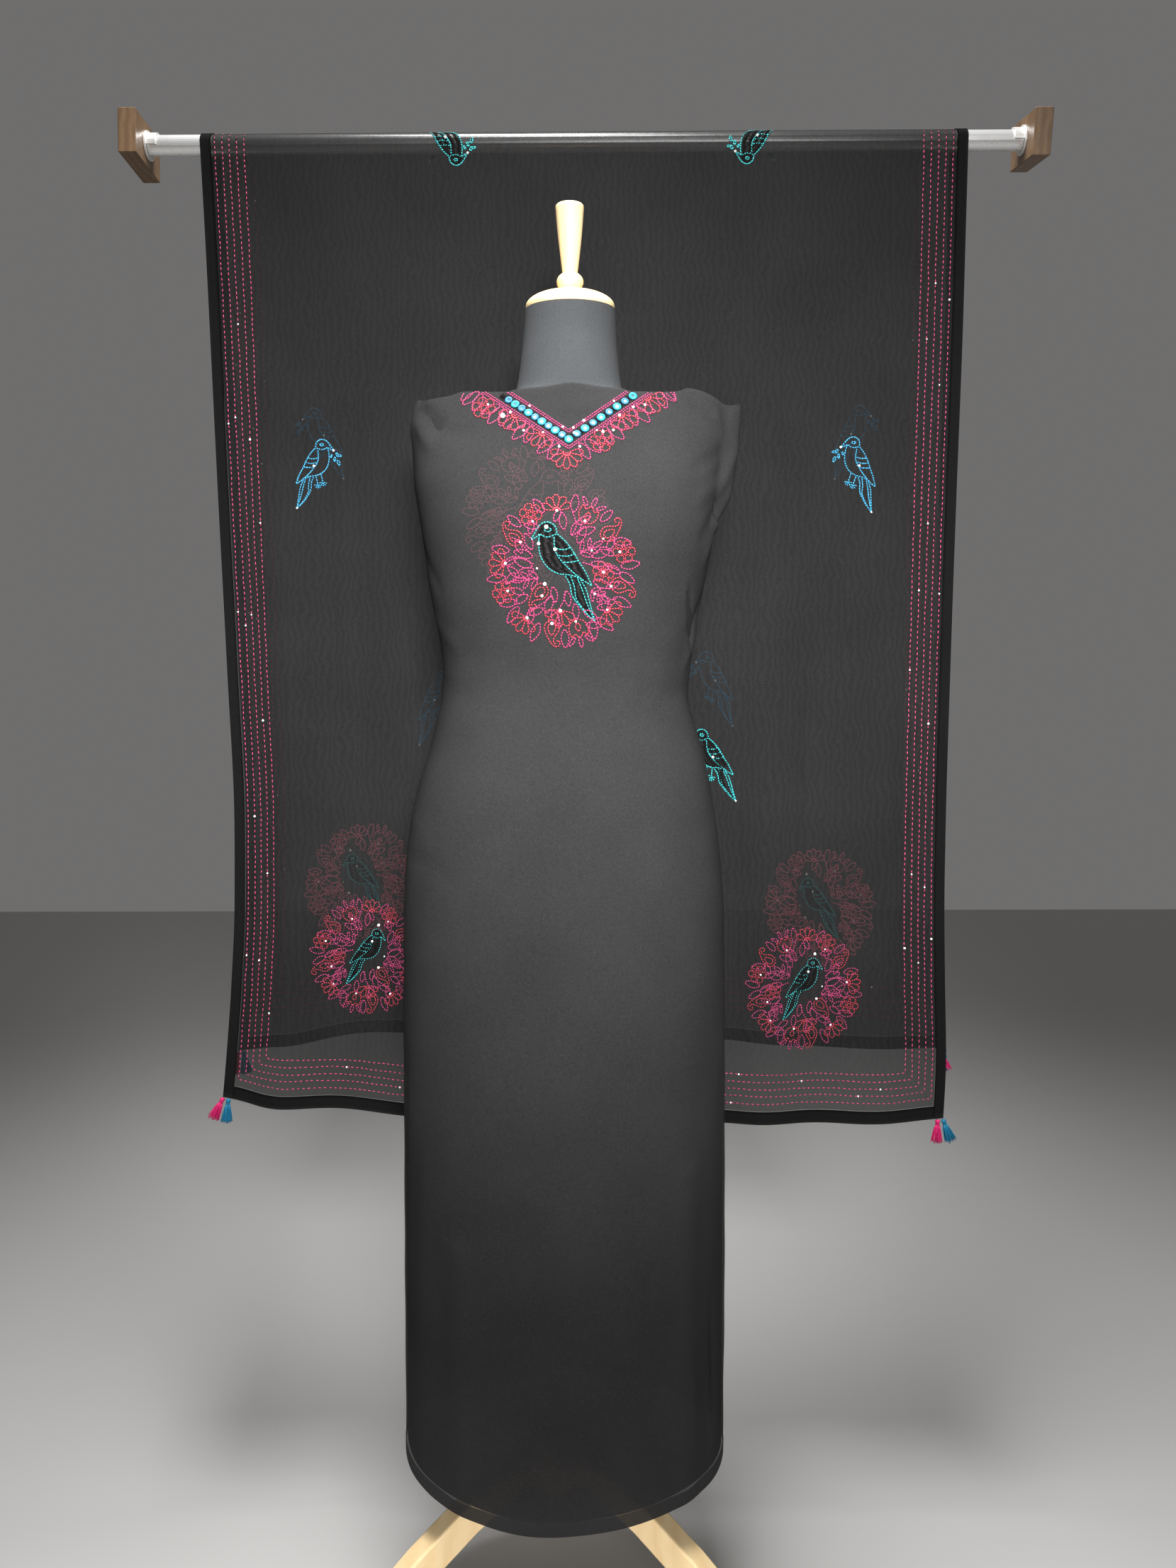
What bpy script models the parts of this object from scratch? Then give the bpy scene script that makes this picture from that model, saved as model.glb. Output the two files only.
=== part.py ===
"""Salwar kameez suit, shown as a shop shows it before it is sewn.

The kameez length hangs on a dress form on three wooden legs, folded at the shoulder so that
its back lies under its front, both sides turned to the back. The dupatta hangs over a steel
rod behind the form. The rod sits in two wooden blocks.

Metres, +Z up, +X to the viewer's right, the front towards -Y. The origin lies on the floor
under the middle of the whole set.
"""
import math

import bmesh
import bpy
import numpy as np
from mathutils import Matrix, Vector

SEAM = 0.0003                    # space left where two pieces touch

# The dress form
LEG_TIP = 0.290                  # from the pole's axis to the end of a leg
LEG_WIDE = 0.026
LEG_DEEP = 0.034
LEG_TURNS = (-60.0, 60.0, 180.0)  # about +Z from straight ahead
LEG_NAMES = ("form_leg_left", "form_leg_right", "form_leg_back")
LEG_EDGE = 0.0025
LEG_FOOT = 0.026                 # length of the flat that stands on the floor
LEG_END = 0.022                  # height of the upright end
HUB_ACROSS = 0.066               # flat to flat
HUB_LOW = 0.152
HUB_HIGH = 0.216
POLE_RADIUS = 0.014
TORSO_LOW = 0.720
NECK_HIGH = 1.4945
NECK_FROM = 1.400                # the neck's slope grows from this height
NECK_RADIUS = 0.0510
NECK_TILT = math.radians(6.0)    # the neck's top slopes down to the front
LEAN = 0.0152                    # the form stands this much off plumb, to the right, per metre
CLOTH_PLUMB = 0.840              # below this height the skirt hangs straight down
TORSO_SIDES = 28
TORSO_EDGE = ((0.0, 0.020), (0.006, 0.008), (0.020, 0.001))   # lower edge: height above it, inset
SHOULDERS_FROM = 1.32            # above this height SHOULDERS gives the form

# The cap on the neck, and the finial: a ball and a post that widens to its top
CAP_RADIUS = 0.0503
CAP_RIM = 0.0035
CAP_DOME = 0.0175
CAP_FLAT = 0.0120                # the ball's seat on top of the dome
CAP_SEAT_DEEP = 0.0004
CAP_FOOT_IN = 0.0006
BALL_RADIUS = 0.0152
BALL_HIGH = 0.0205
BALL_FOOT = 0.0108
BALL_MIDDLE = 0.46               # of its height
POST_FOOT = 0.0088
POST_TOP = 0.0160
POST_LONG = 0.0725
POST_EDGE = 0.004
POST_CROWN = 0.0012

# The rod and its blocks
FORM_TO_ROD = 0.186              # the rod lies this far behind the form's axis
ROD_HEIGHT = 1.7736
ROD_RADIUS = 0.0126
BLOCK_OUTER = 0.5825             # outer faces, each side of the middle
BLOCK_THICK = 0.0225
BLOCK_DEEP = 0.085
BLOCK_HIGH = 0.055
BLOCK_TURNS = {"left": 0.0, "right": 12.0}    # the right block was fixed a little askew
PLATE_RADIUS = 0.0180
PLATE_THICK = 0.0020
CUP_WALL = 0.0024
CUP_LONG = 0.0120
CUP_OPEN = math.radians(150.0)   # the cup holds the rod from below and is open on top

# The set's middle lies halfway between the front legs' ends and the back leg's end
FRONT_REACH = LEG_TIP * 0.5 + LEG_WIDE * 0.5 * math.sin(math.radians(60.0))
FORM_X = -0.0345
FORM_Y = (FRONT_REACH - LEG_TIP) / 2
ROD_Y = FORM_Y + FORM_TO_ROD

# The kameez: one length of cloth, folded at the shoulder
KAMEEZ_COLUMNS = 40              # even columns once round the form
KAMEEZ_PAST = 2                  # each side edge goes this many columns past the middle back
KAMEEZ_WALL = 0.0012
UNDER_WALL = 0.0010
UNDER_GAP = 0.0005
UNDER_COLUMNS = 14               # the under layer reaches this many each side of the front
UNDER_SHORT = 0.014              # its hem stays this far above the outer one
OVERLAP_LIFT = 0.0030            # where the two side edges lie over each other at the back
OVERLAP_RAMP = 0.025             # as a share of the way round
OVERLAP_SPARE = 0.030            # how much further round the lift begins than the edge needs
HEM_TURN = 0.0115                # height of the stitched hem
HEM_WALL = 0.0018
BODY_CLEAR = 0.0060              # from the worn outline in to the form

# The dupatta
DUPATTA_WIDE = 0.980
DUPATTA_WALL = 0.0010
EDGE_WIDE = 0.0140               # the black edging down both sides
EDGE_WALL = 0.0015
EDGE_SEAM = 0.0006               # a little wider, because the cloth bends at this seam
END_HIGH = 0.0165                # and along both ends
REAR_LEFT_IN = 0.0040            # the rear fall's side edges against the front fall's
REAR_RIGHT_IN = 0.0020
REAR_RIGHT_OUT = 0.0110          # and how far its right edge swings out at the bottom
ACROSS_STEPS = 28                # faces across the cloth, down a fall and over the rod
FALL_STEPS = 9
TURN_STEPS = 8
WAVE_COUNT = 6
WAVE_DEEP = 0.0105
WAVE_OUT = 0.0050
WAVE_START = 0.050               # the waves begin this far below the rod's middle
WAVE_GROW = 0.750                # and are full this much lower
OUT_GROW = 0.500                 # the falls part from each other down to here
REAR_SWING = 1.100               # the rear fall's right edge swings out down to here
DRIFT_SIZE, DRIFT_COUNT, DRIFT_START = 0.30, 1.4, 0.6     # how unevenly the waves stand
UNEVEN_SIZE, UNEVEN_RATE, UNEVEN_START = 0.25, 5.3, 1.1   # and how their depth changes
EDGE_HELD = 0.30                 # share of the waves left at the stiffer edging
EDGE_REACH = 0.09                # share of the width over which they return
TASSEL_LONG = 0.0310
TASSEL_HEAD = 0.0030
TASSEL_STRANDS = 8
TASSEL_IN = 0.004                # from the side edge, as a share of the width
TASSEL_DROP = 0.0010             # from the corner down to the knot

# Outline of the worn kameez, from the form's axis: columns are height, left, right, front,
# back and how square the section is (2 is an ellipse)
OUTLINE = np.array((
    (1.4100, 0.1600, 0.1800, 0.0640, 0.0610, 2.5),
    (1.3960, 0.1662, 0.1820, 0.0680, 0.0665, 2.5),
    (1.3780, 0.1732, 0.1815, 0.0755, 0.0740, 2.5),
    (1.3480, 0.1764, 0.1790, 0.0890, 0.0860, 2.5),
    (1.2990, 0.1738, 0.1728, 0.1100, 0.0985, 2.5),
    (1.2620, 0.1682, 0.1675, 0.1215, 0.1030, 2.4),
    (1.2250, 0.1622, 0.1633, 0.1265, 0.1040, 2.4),
    (1.1690, 0.1537, 0.1533, 0.1210, 0.0990, 2.3),
    (1.1220, 0.1434, 0.1455, 0.1110, 0.0935, 2.3),
    (1.0920, 0.1398, 0.1419, 0.1045, 0.0905, 2.2),
    (1.0600, 0.1407, 0.1395, 0.1005, 0.0890, 2.2),
    (1.0330, 0.1465, 0.1455, 0.1025, 0.0920, 2.2),
    (1.0010, 0.1533, 0.1562, 0.1080, 0.0985, 2.2),
    (0.9640, 0.1646, 0.1649, 0.1160, 0.1090, 2.2),
    (0.9350, 0.1717, 0.1696, 0.1215, 0.1175, 2.2),
    (0.8770, 0.1794, 0.1784, 0.1290, 0.1300, 2.2),
    (0.8140, 0.1819, 0.1832, 0.1330, 0.1350, 2.2),
    (0.6360, 0.1837, 0.1840, 0.1350, 0.1350, 2.2),
    (0.2290, 0.1841, 0.1829, 0.1395, 0.1390, 2.1),
    (0.1600, 0.1837, 0.1817, 0.1405, 0.1400, 2.1),
))

# The folded top edge: columns are the share of the way round from the middle front (0.25 is
# the right side, 0.5 the middle back), and height
TOP_EDGE = np.array((
    (-0.550, 1.3830), (-0.350, 1.3850), (-0.262, 1.3872), (-0.222, 1.3906), (-0.190, 1.3836),
    (-0.158, 1.3832), (-0.134, 1.3868), (-0.098, 1.3842), (-0.076, 1.3836), (-0.066, 1.3860),
    (-0.030, 1.3890), (0.004, 1.3936), (0.042, 1.3888), (0.068, 1.3866), (0.080, 1.3832),
    (0.134, 1.3849), (0.157, 1.3908), (0.176, 1.3888), (0.198, 1.3830), (0.214, 1.3786),
    (0.238, 1.3850), (0.252, 1.3869), (0.285, 1.3840), (0.380, 1.3835), (0.550, 1.3830),
))

# The lower edge: the same columns
HEM_EDGE = np.array((
    (-0.550, 0.2010), (-0.330, 0.2060), (-0.250, 0.2030), (-0.180, 0.1900), (-0.100, 0.1785),
    (-0.030, 0.1715), (0.060, 0.1765), (0.130, 0.1830), (0.220, 0.1900), (0.300, 0.1980),
    (0.550, 0.2010),
))

# Heights of the cloth's rows below the top edge and above the hem
KAMEEZ_ROWS = (1.375, 1.360, 1.334, 1.299, 1.268, 1.246, 1.210, 1.166, 1.122, 1.091, 1.060,
               1.030, 0.998, 0.964, 0.930, 0.877, 0.814, 0.720, 0.560, 0.390, 0.240)

# Largest folds: columns are the share of the way round, top, bottom, half width and height
FOLDS = (
    (0.236, 1.420, 1.250, 0.030, 0.0145),
    (-0.225, 1.420, 1.334, 0.026, 0.0035),
    (0.300, 1.180, 1.045, 0.026, 0.0040),
    (-0.300, 1.160, 1.030, 0.026, 0.0035),
    (0.140, 0.560, 0.170, 0.026, 0.0030),
    (-0.110, 0.480, 0.170, 0.030, 0.0030),
    (0.290, 0.620, 0.170, 0.030, 0.0040),
    (-0.310, 0.600, 0.170, 0.032, 0.0045),
    (0.390, 0.700, 0.170, 0.030, 0.0050),
)

# The form's shoulders and neck: columns are height, half width, front, back and squareness
SHOULDERS = (
    (1.330, 0.1650, 0.0880, 0.0860, 2.4),
    (1.348, 0.1620, 0.0790, 0.0775, 2.4),
    (1.360, 0.1530, 0.0710, 0.0705, 2.3),
    (1.370, 0.1380, 0.0650, 0.0650, 2.2),
    (1.378, 0.1170, 0.0610, 0.0620, 2.1),
    (1.385, 0.0930, 0.0592, 0.0602, 2.0),
    (1.391, 0.0720, 0.0582, 0.0592, 2.0),
    (1.400, 0.0612, 0.0572, 0.0580, 2.0),
    (1.440, 0.0550, 0.0545, 0.0545, 2.0),
    (1.468, 0.0525, 0.0520, 0.0520, 2.0),
)

# A leg's curve in its own plane: columns are reach from the pole's axis and height
LEG_ROUTE = ((0.040, 0.182), (0.116, 0.141), (0.171, 0.104), (0.232, 0.056), (0.266, 0.022))

# The dupatta's side edges: columns are height, left edge and right edge
DUPATTA_SIDES = np.array((
    (1.7740, -0.4893, 0.4868), (1.6600, -0.4838, 0.4838), (1.5500, -0.4790, 0.4808),
    (1.3100, -0.4694, 0.4722), (1.1000, -0.4610, 0.4660), (0.9050, -0.4540, 0.4612),
    (0.8000, -0.4550, 0.4600), (0.7000, -0.4600, 0.4612), (0.6000, -0.4680, 0.4632),
    (0.5000, -0.4780, 0.4590),
))

# Its two lower edges: columns are the share of the width from the left, front and rear height
DUPATTA_ENDS = np.array((
    (0.00, 0.5480, 0.5990), (0.06, 0.5370, 0.6060), (0.20, 0.5290, 0.6230), (0.35, 0.5210, 0.6270),
    (0.50, 0.5160, 0.6220), (0.70, 0.5130, 0.6120), (0.87, 0.5130, 0.6020), (1.00, 0.5200, 0.6030),
))

# Tassels: columns are corner (side, end), thread and how far it swings to the right
TASSELS = (
    ("left", "front", "pink", -26.0), ("left", "front", "teal", -5.0),
    ("right", "front", "pink", -3.0), ("right", "front", "teal", 20.0),
    ("left", "rear", "pink", -10.0), ("left", "rear", "teal", 8.0),
    ("right", "rear", "pink", -6.0), ("right", "rear", "teal", 10.0),
)

FINISHES = {                     # colour, roughness, metallic
    "jersey": ((0.085, 0.090, 0.096), 0.92, 0.0),
    "birch": ((0.86, 0.66, 0.36), 0.42, 0.0),
    "georgette": ((0.030, 0.028, 0.030), 0.78, 0.0),
    "sheer georgette": ((0.040, 0.036, 0.038), 0.75, 0.0),
    "edging": ((0.010, 0.010, 0.011), 0.70, 0.0),
    "pink thread": ((0.66, 0.03, 0.16), 0.55, 0.0),
    "teal thread": ((0.02, 0.30, 0.42), 0.55, 0.0),
    "steel": ((0.62, 0.62, 0.62), 0.22, 1.0),
    "zinc": ((0.80, 0.80, 0.78), 0.35, 0.6),
    "oak": ((0.36, 0.23, 0.13), 0.60, 0.0),
}


def clear_scene():
    for thing in list(bpy.data.objects):
        bpy.data.objects.remove(thing, do_unlink=True)


def new_collection(name):
    group = bpy.data.collections.new(name)
    bpy.context.scene.collection.children.link(group)
    return group


def finish(name):
    """A Principled material for one finish, made once."""
    material = bpy.data.materials.get(name)
    if material is None:
        material = bpy.data.materials.new(name)
        material.use_nodes = True
        colour, roughness, metallic = FINISHES[name]
        shader = material.node_tree.nodes["Principled BSDF"]
        shader.inputs["Base Color"].default_value = (*colour, 1.0)
        shader.inputs["Roughness"].default_value = roughness
        shader.inputs["Metallic"].default_value = metallic
    return material


def add_object(name, mesh, finish_name, smooth_angle=40.0):
    piece = bpy.data.objects.new(name, mesh)
    mesh.materials.append(finish(finish_name))
    mesh.shade_smooth()
    mesh.set_sharp_from_angle(angle=math.radians(smooth_angle))
    suit.objects.link(piece)
    return piece


def mesh_from_bmesh(name, shape):
    bmesh.ops.recalc_face_normals(shape, faces=shape.faces)
    mesh = bpy.data.meshes.new(name)
    shape.to_mesh(mesh)
    shape.free()
    return mesh


def read_table(table, at, column):
    """A smooth value between a table's rows, never past its neighbours."""
    key, value = table[:, 0], table[:, column]
    if key[0] > key[-1]:
        key, value = key[::-1], value[::-1]
    at = float(np.clip(at, key[0], key[-1]))
    step = np.diff(key)
    slope = np.diff(value) / step
    tangent = np.zeros(len(key))
    for i in range(1, len(key) - 1):
        if slope[i - 1] * slope[i] > 0:
            tangent[i] = 2 * slope[i - 1] * slope[i] / (slope[i - 1] + slope[i])
    tangent[0], tangent[-1] = slope[0], slope[-1]
    i = int(np.clip(np.searchsorted(key, at) - 1, 0, len(step) - 1))
    t = (at - key[i]) / step[i]
    rise = value[i] * (2 * t**3 - 3 * t**2 + 1) + value[i + 1] * (3 * t**2 - 2 * t**3)
    bend = tangent[i] * (t**3 - 2 * t**2 + t) + tangent[i + 1] * (t**3 - t**2)
    return float(rise + bend * step[i])


def ease(value):
    value = min(max(value, 0.0), 1.0)
    return value * value * (3 - 2 * value)


def axis_x(height):
    """Where the form's axis is at a height, with its slight lean."""
    return FORM_X + LEAN * (height - HUB_HIGH)


def hang_x(height):
    """The middle of the worn cloth: the form's axis down to the hips, then straight down."""
    return axis_x(max(height, CLOTH_PLUMB))


def oval_radius(angle, left, right, front, back, power):
    """Distance from the axis to a rounded section; angle 0 faces the front."""
    across = np.sin(angle)
    ahead = np.cos(angle)
    wide = np.where(across > 0, right, left)
    deep = np.where(ahead > 0, front, back)
    total = np.abs(across / wide) ** power + np.abs(ahead / deep) ** power
    return total ** (-1.0 / power)


RING_ANGLES = np.linspace(-1.6 * math.pi, 1.6 * math.pi, 801)
MIDDLE = 400


class Ring:
    """One level section of the worn outline, measured along the cloth from the middle front."""

    def __init__(self, height):
        sizes = [read_table(OUTLINE, height, column) for column in range(1, 6)]
        radius = oval_radius(RING_ANGLES, *sizes)
        self.x = radius * np.sin(RING_ANGLES)
        self.y = -radius * np.cos(RING_ANGLES)
        run = np.concatenate(((0.0,), np.cumsum(np.hypot(np.diff(self.x), np.diff(self.y)))))
        self.run = run - run[MIDDLE]
        self.round = 2 * float(np.interp(math.pi, RING_ANGLES, self.run))
        self.out_x = np.gradient(self.y)
        self.out_y = -np.gradient(self.x)
        length = np.hypot(self.out_x, self.out_y)
        self.out_x /= length
        self.out_y /= length

    def place(self, share, out):
        x, y, nx, ny = (np.interp(share * self.round, self.run, line)
                        for line in (self.x, self.y, self.out_x, self.out_y))
        return x + nx * out, y + ny * out


RINGS = {}


def ring_at(height):
    key = round(height, 4)
    if key not in RINGS:
        RINGS[key] = Ring(key)
    return RINGS[key]


def fold_height(share, height):
    """How far the largest folds stand out from the outline."""
    total = 0.0
    for centre, top, bottom, half, rise in FOLDS:
        across = ease(1 - abs(share - centre) / half)
        ends = ease((top - height) / 0.02) * ease((height - bottom) / 0.018 + 0.35)
        total += rise * across * ends
    return total


def overlap_lift(share):
    """The right-hand side lies over the left-hand one at the back."""
    start = 0.5 - KAMEEZ_PAST / KAMEEZ_COLUMNS - OVERLAP_SPARE
    return OVERLAP_LIFT * ease((share - start + OVERLAP_RAMP) / OVERLAP_RAMP)


def kameez_point(share, height, out, folded=True):
    out += overlap_lift(share)
    if folded:
        out += fold_height(share, height)
    x, y = ring_at(height).place(share, out)
    return Vector((hang_x(height) + x, FORM_Y + y, height))


def cloth_sheet(name, rows, finish_name, thickness, weights=None, smooth_angle=50.0):
    """An open surface through rows of points, given its thickness outwards."""
    shape = bmesh.new()
    grid = [[shape.verts.new(point) for point in row] for row in rows]
    for upper, lower in zip(grid, grid[1:]):
        for i in range(len(upper) - 1):
            shape.faces.new((upper[i], lower[i], lower[i + 1], upper[i + 1]))
    mesh = bpy.data.meshes.new(name)
    shape.to_mesh(mesh)
    shape.free()
    piece = add_object(name, mesh, finish_name, smooth_angle)
    solid = piece.modifiers.new("wall", "SOLIDIFY")
    solid.thickness = thickness
    solid.offset = 1.0
    solid.use_even_offset = True
    if weights is not None:
        group = piece.vertex_groups.new(name="wall")
        for row_index, weight in enumerate(weights):
            width = len(rows[row_index])
            group.add(range(row_index * width, (row_index + 1) * width), weight, "REPLACE")
        solid.vertex_group = "wall"
    return piece


def kameez_rows(columns, levels, rise, out, folded):
    """Rows of points, top to bottom; rise shortens the sheet at its hem."""
    rows = []
    for level in levels:
        row = []
        for share in columns:
            top = read_table(TOP_EDGE, share, 1)
            hem = read_table(HEM_EDGE, share, 1) + rise
            height = {"top": top, "turn": hem + HEM_TURN + 0.0015, "stitch": hem + HEM_TURN,
                      "hem": hem}.get(level, level)
            row.append(kameez_point(share, height, out, folded))
        rows.append(row)
    return rows


def make_kameez_front():
    """The front: it shows all round and its side edges cross at the back."""
    reach = KAMEEZ_COLUMNS // 2 + KAMEEZ_PAST
    columns = [step / KAMEEZ_COLUMNS for step in range(-reach, reach + 1)]
    pinch, half = FOLDS[0][0], FOLDS[0][3]
    columns += [pinch - half * 0.75, pinch - half * 0.25, pinch + half * 0.15, pinch + half * 0.85]
    levels = ("top",) + KAMEEZ_ROWS + ("turn", "stitch", "hem")
    rows = kameez_rows(sorted(columns), levels, 0.0, -KAMEEZ_WALL, True)
    plain = KAMEEZ_WALL / HEM_WALL
    weights = [1.0 if level in ("stitch", "hem") else plain for level in levels]
    return cloth_sheet("kameez_front", rows, "georgette", HEM_WALL, weights)


def make_kameez_back():
    """The back: it turns in at the shoulder fold and hangs between the front and the form."""
    columns = [step / KAMEEZ_COLUMNS for step in range(-UNDER_COLUMNS, UNDER_COLUMNS + 1, 2)]
    levels = KAMEEZ_ROWS + ("hem",)
    inside = -KAMEEZ_WALL - UNDER_GAP - UNDER_WALL
    rows = kameez_rows(columns, levels, UNDER_SHORT, inside, False)
    return cloth_sheet("kameez_back", rows, "georgette", UNDER_WALL)


def ring_loft(name, levels, finish_name, smooth_angle=60.0):
    """A closed body through rings of equal count, with flat ends."""
    shape = bmesh.new()
    loops = [[shape.verts.new(point) for point in level] for level in levels]
    for lower, upper in zip(loops, loops[1:]):
        count = len(lower)
        for i in range(count):
            shape.faces.new((lower[i], lower[(i + 1) % count], upper[(i + 1) % count], upper[i]))
    shape.faces.new(list(reversed(loops[0])))
    shape.faces.new(loops[-1])
    return add_object(name, mesh_from_bmesh(name, shape), finish_name, smooth_angle)


def body_level(height, half, front, back, power, tilt=0.0):
    """One ring of the form's body; tilt is the slope of its plane towards the front."""
    angles = np.linspace(0, 2 * math.pi, TORSO_SIDES, endpoint=False)
    radius = oval_radius(angles, half, half, front, back, power)
    level = []
    for angle, reach in zip(angles, radius):
        x = reach * math.sin(angle)
        y = -reach * math.cos(angle)
        level.append(Vector((axis_x(height) + x, FORM_Y + y, height + y * math.tan(tilt))))
    return level


def make_torso():
    """Hips to neck, a little inside the worn outline, smooth and whole."""
    levels = []
    edge = tuple((TORSO_LOW + above, inset) for above, inset in TORSO_EDGE)
    heights = [height for height in sorted(KAMEEZ_ROWS)
               if TORSO_LOW + 0.03 < height < SHOULDERS_FROM]
    for height, inset in edge + tuple((height, 0.0) for height in heights):
        left, right, front, back, power = (read_table(OUTLINE, height, column)
                                           for column in range(1, 6))
        clear = BODY_CLEAR + inset
        levels.append(body_level(height, min(left, right) - clear, front - clear,
                                 back - clear, power))
    for height, half, front, back, power in SHOULDERS:
        share = ease((height - NECK_FROM) / (NECK_HIGH - NECK_FROM))
        levels.append(body_level(height, half, front, back, power, NECK_TILT * share))
    levels.append(body_level(NECK_HIGH, NECK_RADIUS, NECK_RADIUS, NECK_RADIUS, 2.0, NECK_TILT))
    return ring_loft("form_torso", levels, "jersey", 80.0)


def turned(name, profile, finish_name, steps=28):
    """A turned piece: its profile runs down the outer side, from top to bottom."""
    mesh = bpy.data.meshes.new(name)
    shape = bmesh.new()
    points = [shape.verts.new((radius, 0.0, height)) for radius, height in profile]
    for upper, lower in zip(points, points[1:]):
        shape.edges.new((upper, lower))
    shape.to_mesh(mesh)
    shape.free()
    piece = add_object(name, mesh, finish_name)
    spin = piece.modifiers.new("turn", "SCREW")
    spin.steps = steps
    spin.render_steps = steps
    spin.use_merge_vertices = True
    spin.merge_threshold = 0.00005
    spin.use_smooth_shade = True
    return piece


def arc_profile(centre, radii, start, end, count):
    """Points of an elliptic arc; angles in degrees from +X."""
    points = []
    for i in range(count + 1):
        angle = math.radians(start + (end - start) * i / count)
        points.append((centre[0] + radii[0] * math.cos(angle),
                       centre[1] + radii[1] * math.sin(angle)))
    return points


def make_cap_and_finial():
    """The wooden cap on the neck, and the ball and tapered finial on the cap."""
    dome = arc_profile((0.0, CAP_RIM), (CAP_RADIUS, CAP_DOME), 90, 0, 7)
    top = dome[0][1]
    seat = [(0.0, top), (CAP_FLAT, top - CAP_SEAT_DEEP)]
    slope = [point for point in dome if point[0] > CAP_FLAT + 0.002]
    foot = [(CAP_RADIUS - CAP_FOOT_IN, 0.0), (0.0, 0.0)]
    cap = turned("form_neck_cap", seat + slope + foot, "birch", 28)

    base = top + SEAM
    post_base = base + BALL_HIGH
    crown = arc_profile((POST_TOP - POST_EDGE, post_base + POST_LONG - POST_EDGE),
                        (POST_EDGE, POST_EDGE), 80, 0, 2)
    ball = arc_profile((0.0, base + BALL_HIGH * BALL_MIDDLE),
                       (BALL_RADIUS, BALL_HIGH * (1 - BALL_MIDDLE)), 55, -40, 5)
    profile = [(0.0, post_base + POST_LONG + POST_CROWN)] + crown
    profile += [(POST_FOOT, post_base)] + ball + [(BALL_FOOT, base), (0.0, base)]
    finial = turned("form_finial", profile, "birch", 20)

    for piece in (cap, finial):
        piece.location = (axis_x(NECK_HIGH), FORM_Y, NECK_HIGH + SEAM)
        piece.rotation_euler = (NECK_TILT, 0.0, 0.0)
    return cap, finial


def make_pole():
    low, high = HUB_HIGH + SEAM, TORSO_LOW - SEAM
    bpy.ops.mesh.primitive_cylinder_add(vertices=24, radius=POLE_RADIUS, depth=high - low)
    mesh = bpy.context.object.data
    bpy.data.objects.remove(bpy.context.object, do_unlink=True)
    mesh.transform(Matrix.Translation((0.0, 0.0, (high - low) / 2)))
    lean = Matrix.Identity(4)
    lean[0][2] = LEAN
    mesh.transform(lean)
    pole = add_object("form_pole", mesh, "birch")
    pole.location = (axis_x(low), FORM_Y, low)
    return pole


def make_hub():
    """A six-sided block: the legs meet every second side."""
    shape = bmesh.new()
    reach = HUB_ACROSS / 2 / math.cos(math.radians(30))
    bmesh.ops.create_cone(shape, cap_ends=True, segments=6, radius1=reach, radius2=reach,
                          depth=HUB_HIGH - HUB_LOW)
    bmesh.ops.rotate(shape, verts=shape.verts, matrix=Matrix.Rotation(math.radians(30), 3, "Z"))
    mesh = mesh_from_bmesh("form_hub", shape)
    hub = add_object("form_hub", mesh, "birch", 20.0)
    hub.location = (FORM_X, FORM_Y, (HUB_HIGH + HUB_LOW) / 2)
    soften(hub, 0.002)
    return hub


def soften(piece, width, segments=2):
    bevel = piece.modifiers.new("soft edges", "BEVEL")
    bevel.width = width
    bevel.segments = segments
    bevel.limit_method = "ANGLE"
    bevel.angle_limit = math.radians(35)


def leg_sections():
    """Top and bottom point of each section of a leg in its own plane: reach and height."""
    route = [Vector(point) for point in LEG_ROUTE]
    start = HUB_ACROSS / 2 + SEAM
    half = LEG_DEEP / 2
    sections = [((start, route[0].y + half), (start, route[0].y - half))]
    for before, here, after in zip(route, route[1:], route[2:]):
        run = (after - before).normalized()
        side = Vector((-run.y, run.x)) * half
        sections.append(((here.x + side.x, here.y + side.y), (here.x - side.x, here.y - side.y)))
    heel = LEG_TIP - LEG_FOOT
    sections.append(((heel + LEG_EDGE, LEG_END * 2), (heel, 0.0)))
    sections.append(((LEG_TIP, LEG_END), (LEG_TIP, 0.0)))
    return sections


def make_legs():
    """Three curved wooden bars from the hub to the floor, the ends cut level."""
    half = LEG_WIDE / 2
    for name, turn in zip(LEG_NAMES, LEG_TURNS):
        levels = []
        for upper, lower in leg_sections():
            levels.append([Vector((-half, -upper[0], upper[1])),
                           Vector((half, -upper[0], upper[1])),
                           Vector((half, -lower[0], lower[1])),
                           Vector((-half, -lower[0], lower[1]))])
        leg = ring_loft(name, levels, "birch", 30.0)
        leg.location = (FORM_X, FORM_Y, 0.0)
        leg.rotation_euler = (0.0, 0.0, math.radians(turn))
        soften(leg, LEG_EDGE)


def dupatta_wave(share, height):
    """Soft upright waves that grow from the rod downwards."""
    grow = ease((ROD_HEIGHT - WAVE_START - height) / WAVE_GROW)
    drift = DRIFT_SIZE * math.sin(2 * math.pi * share * DRIFT_COUNT + DRIFT_START)
    phase = 2 * math.pi * (WAVE_COUNT * share + drift)
    uneven = 1 - UNEVEN_SIZE + UNEVEN_SIZE * math.sin(UNEVEN_RATE * share + UNEVEN_START)
    held = EDGE_HELD + (1 - EDGE_HELD) * ease(min(share, 1 - share) / EDGE_REACH)
    return grow * WAVE_DEEP * uneven * held * math.sin(phase)


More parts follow.
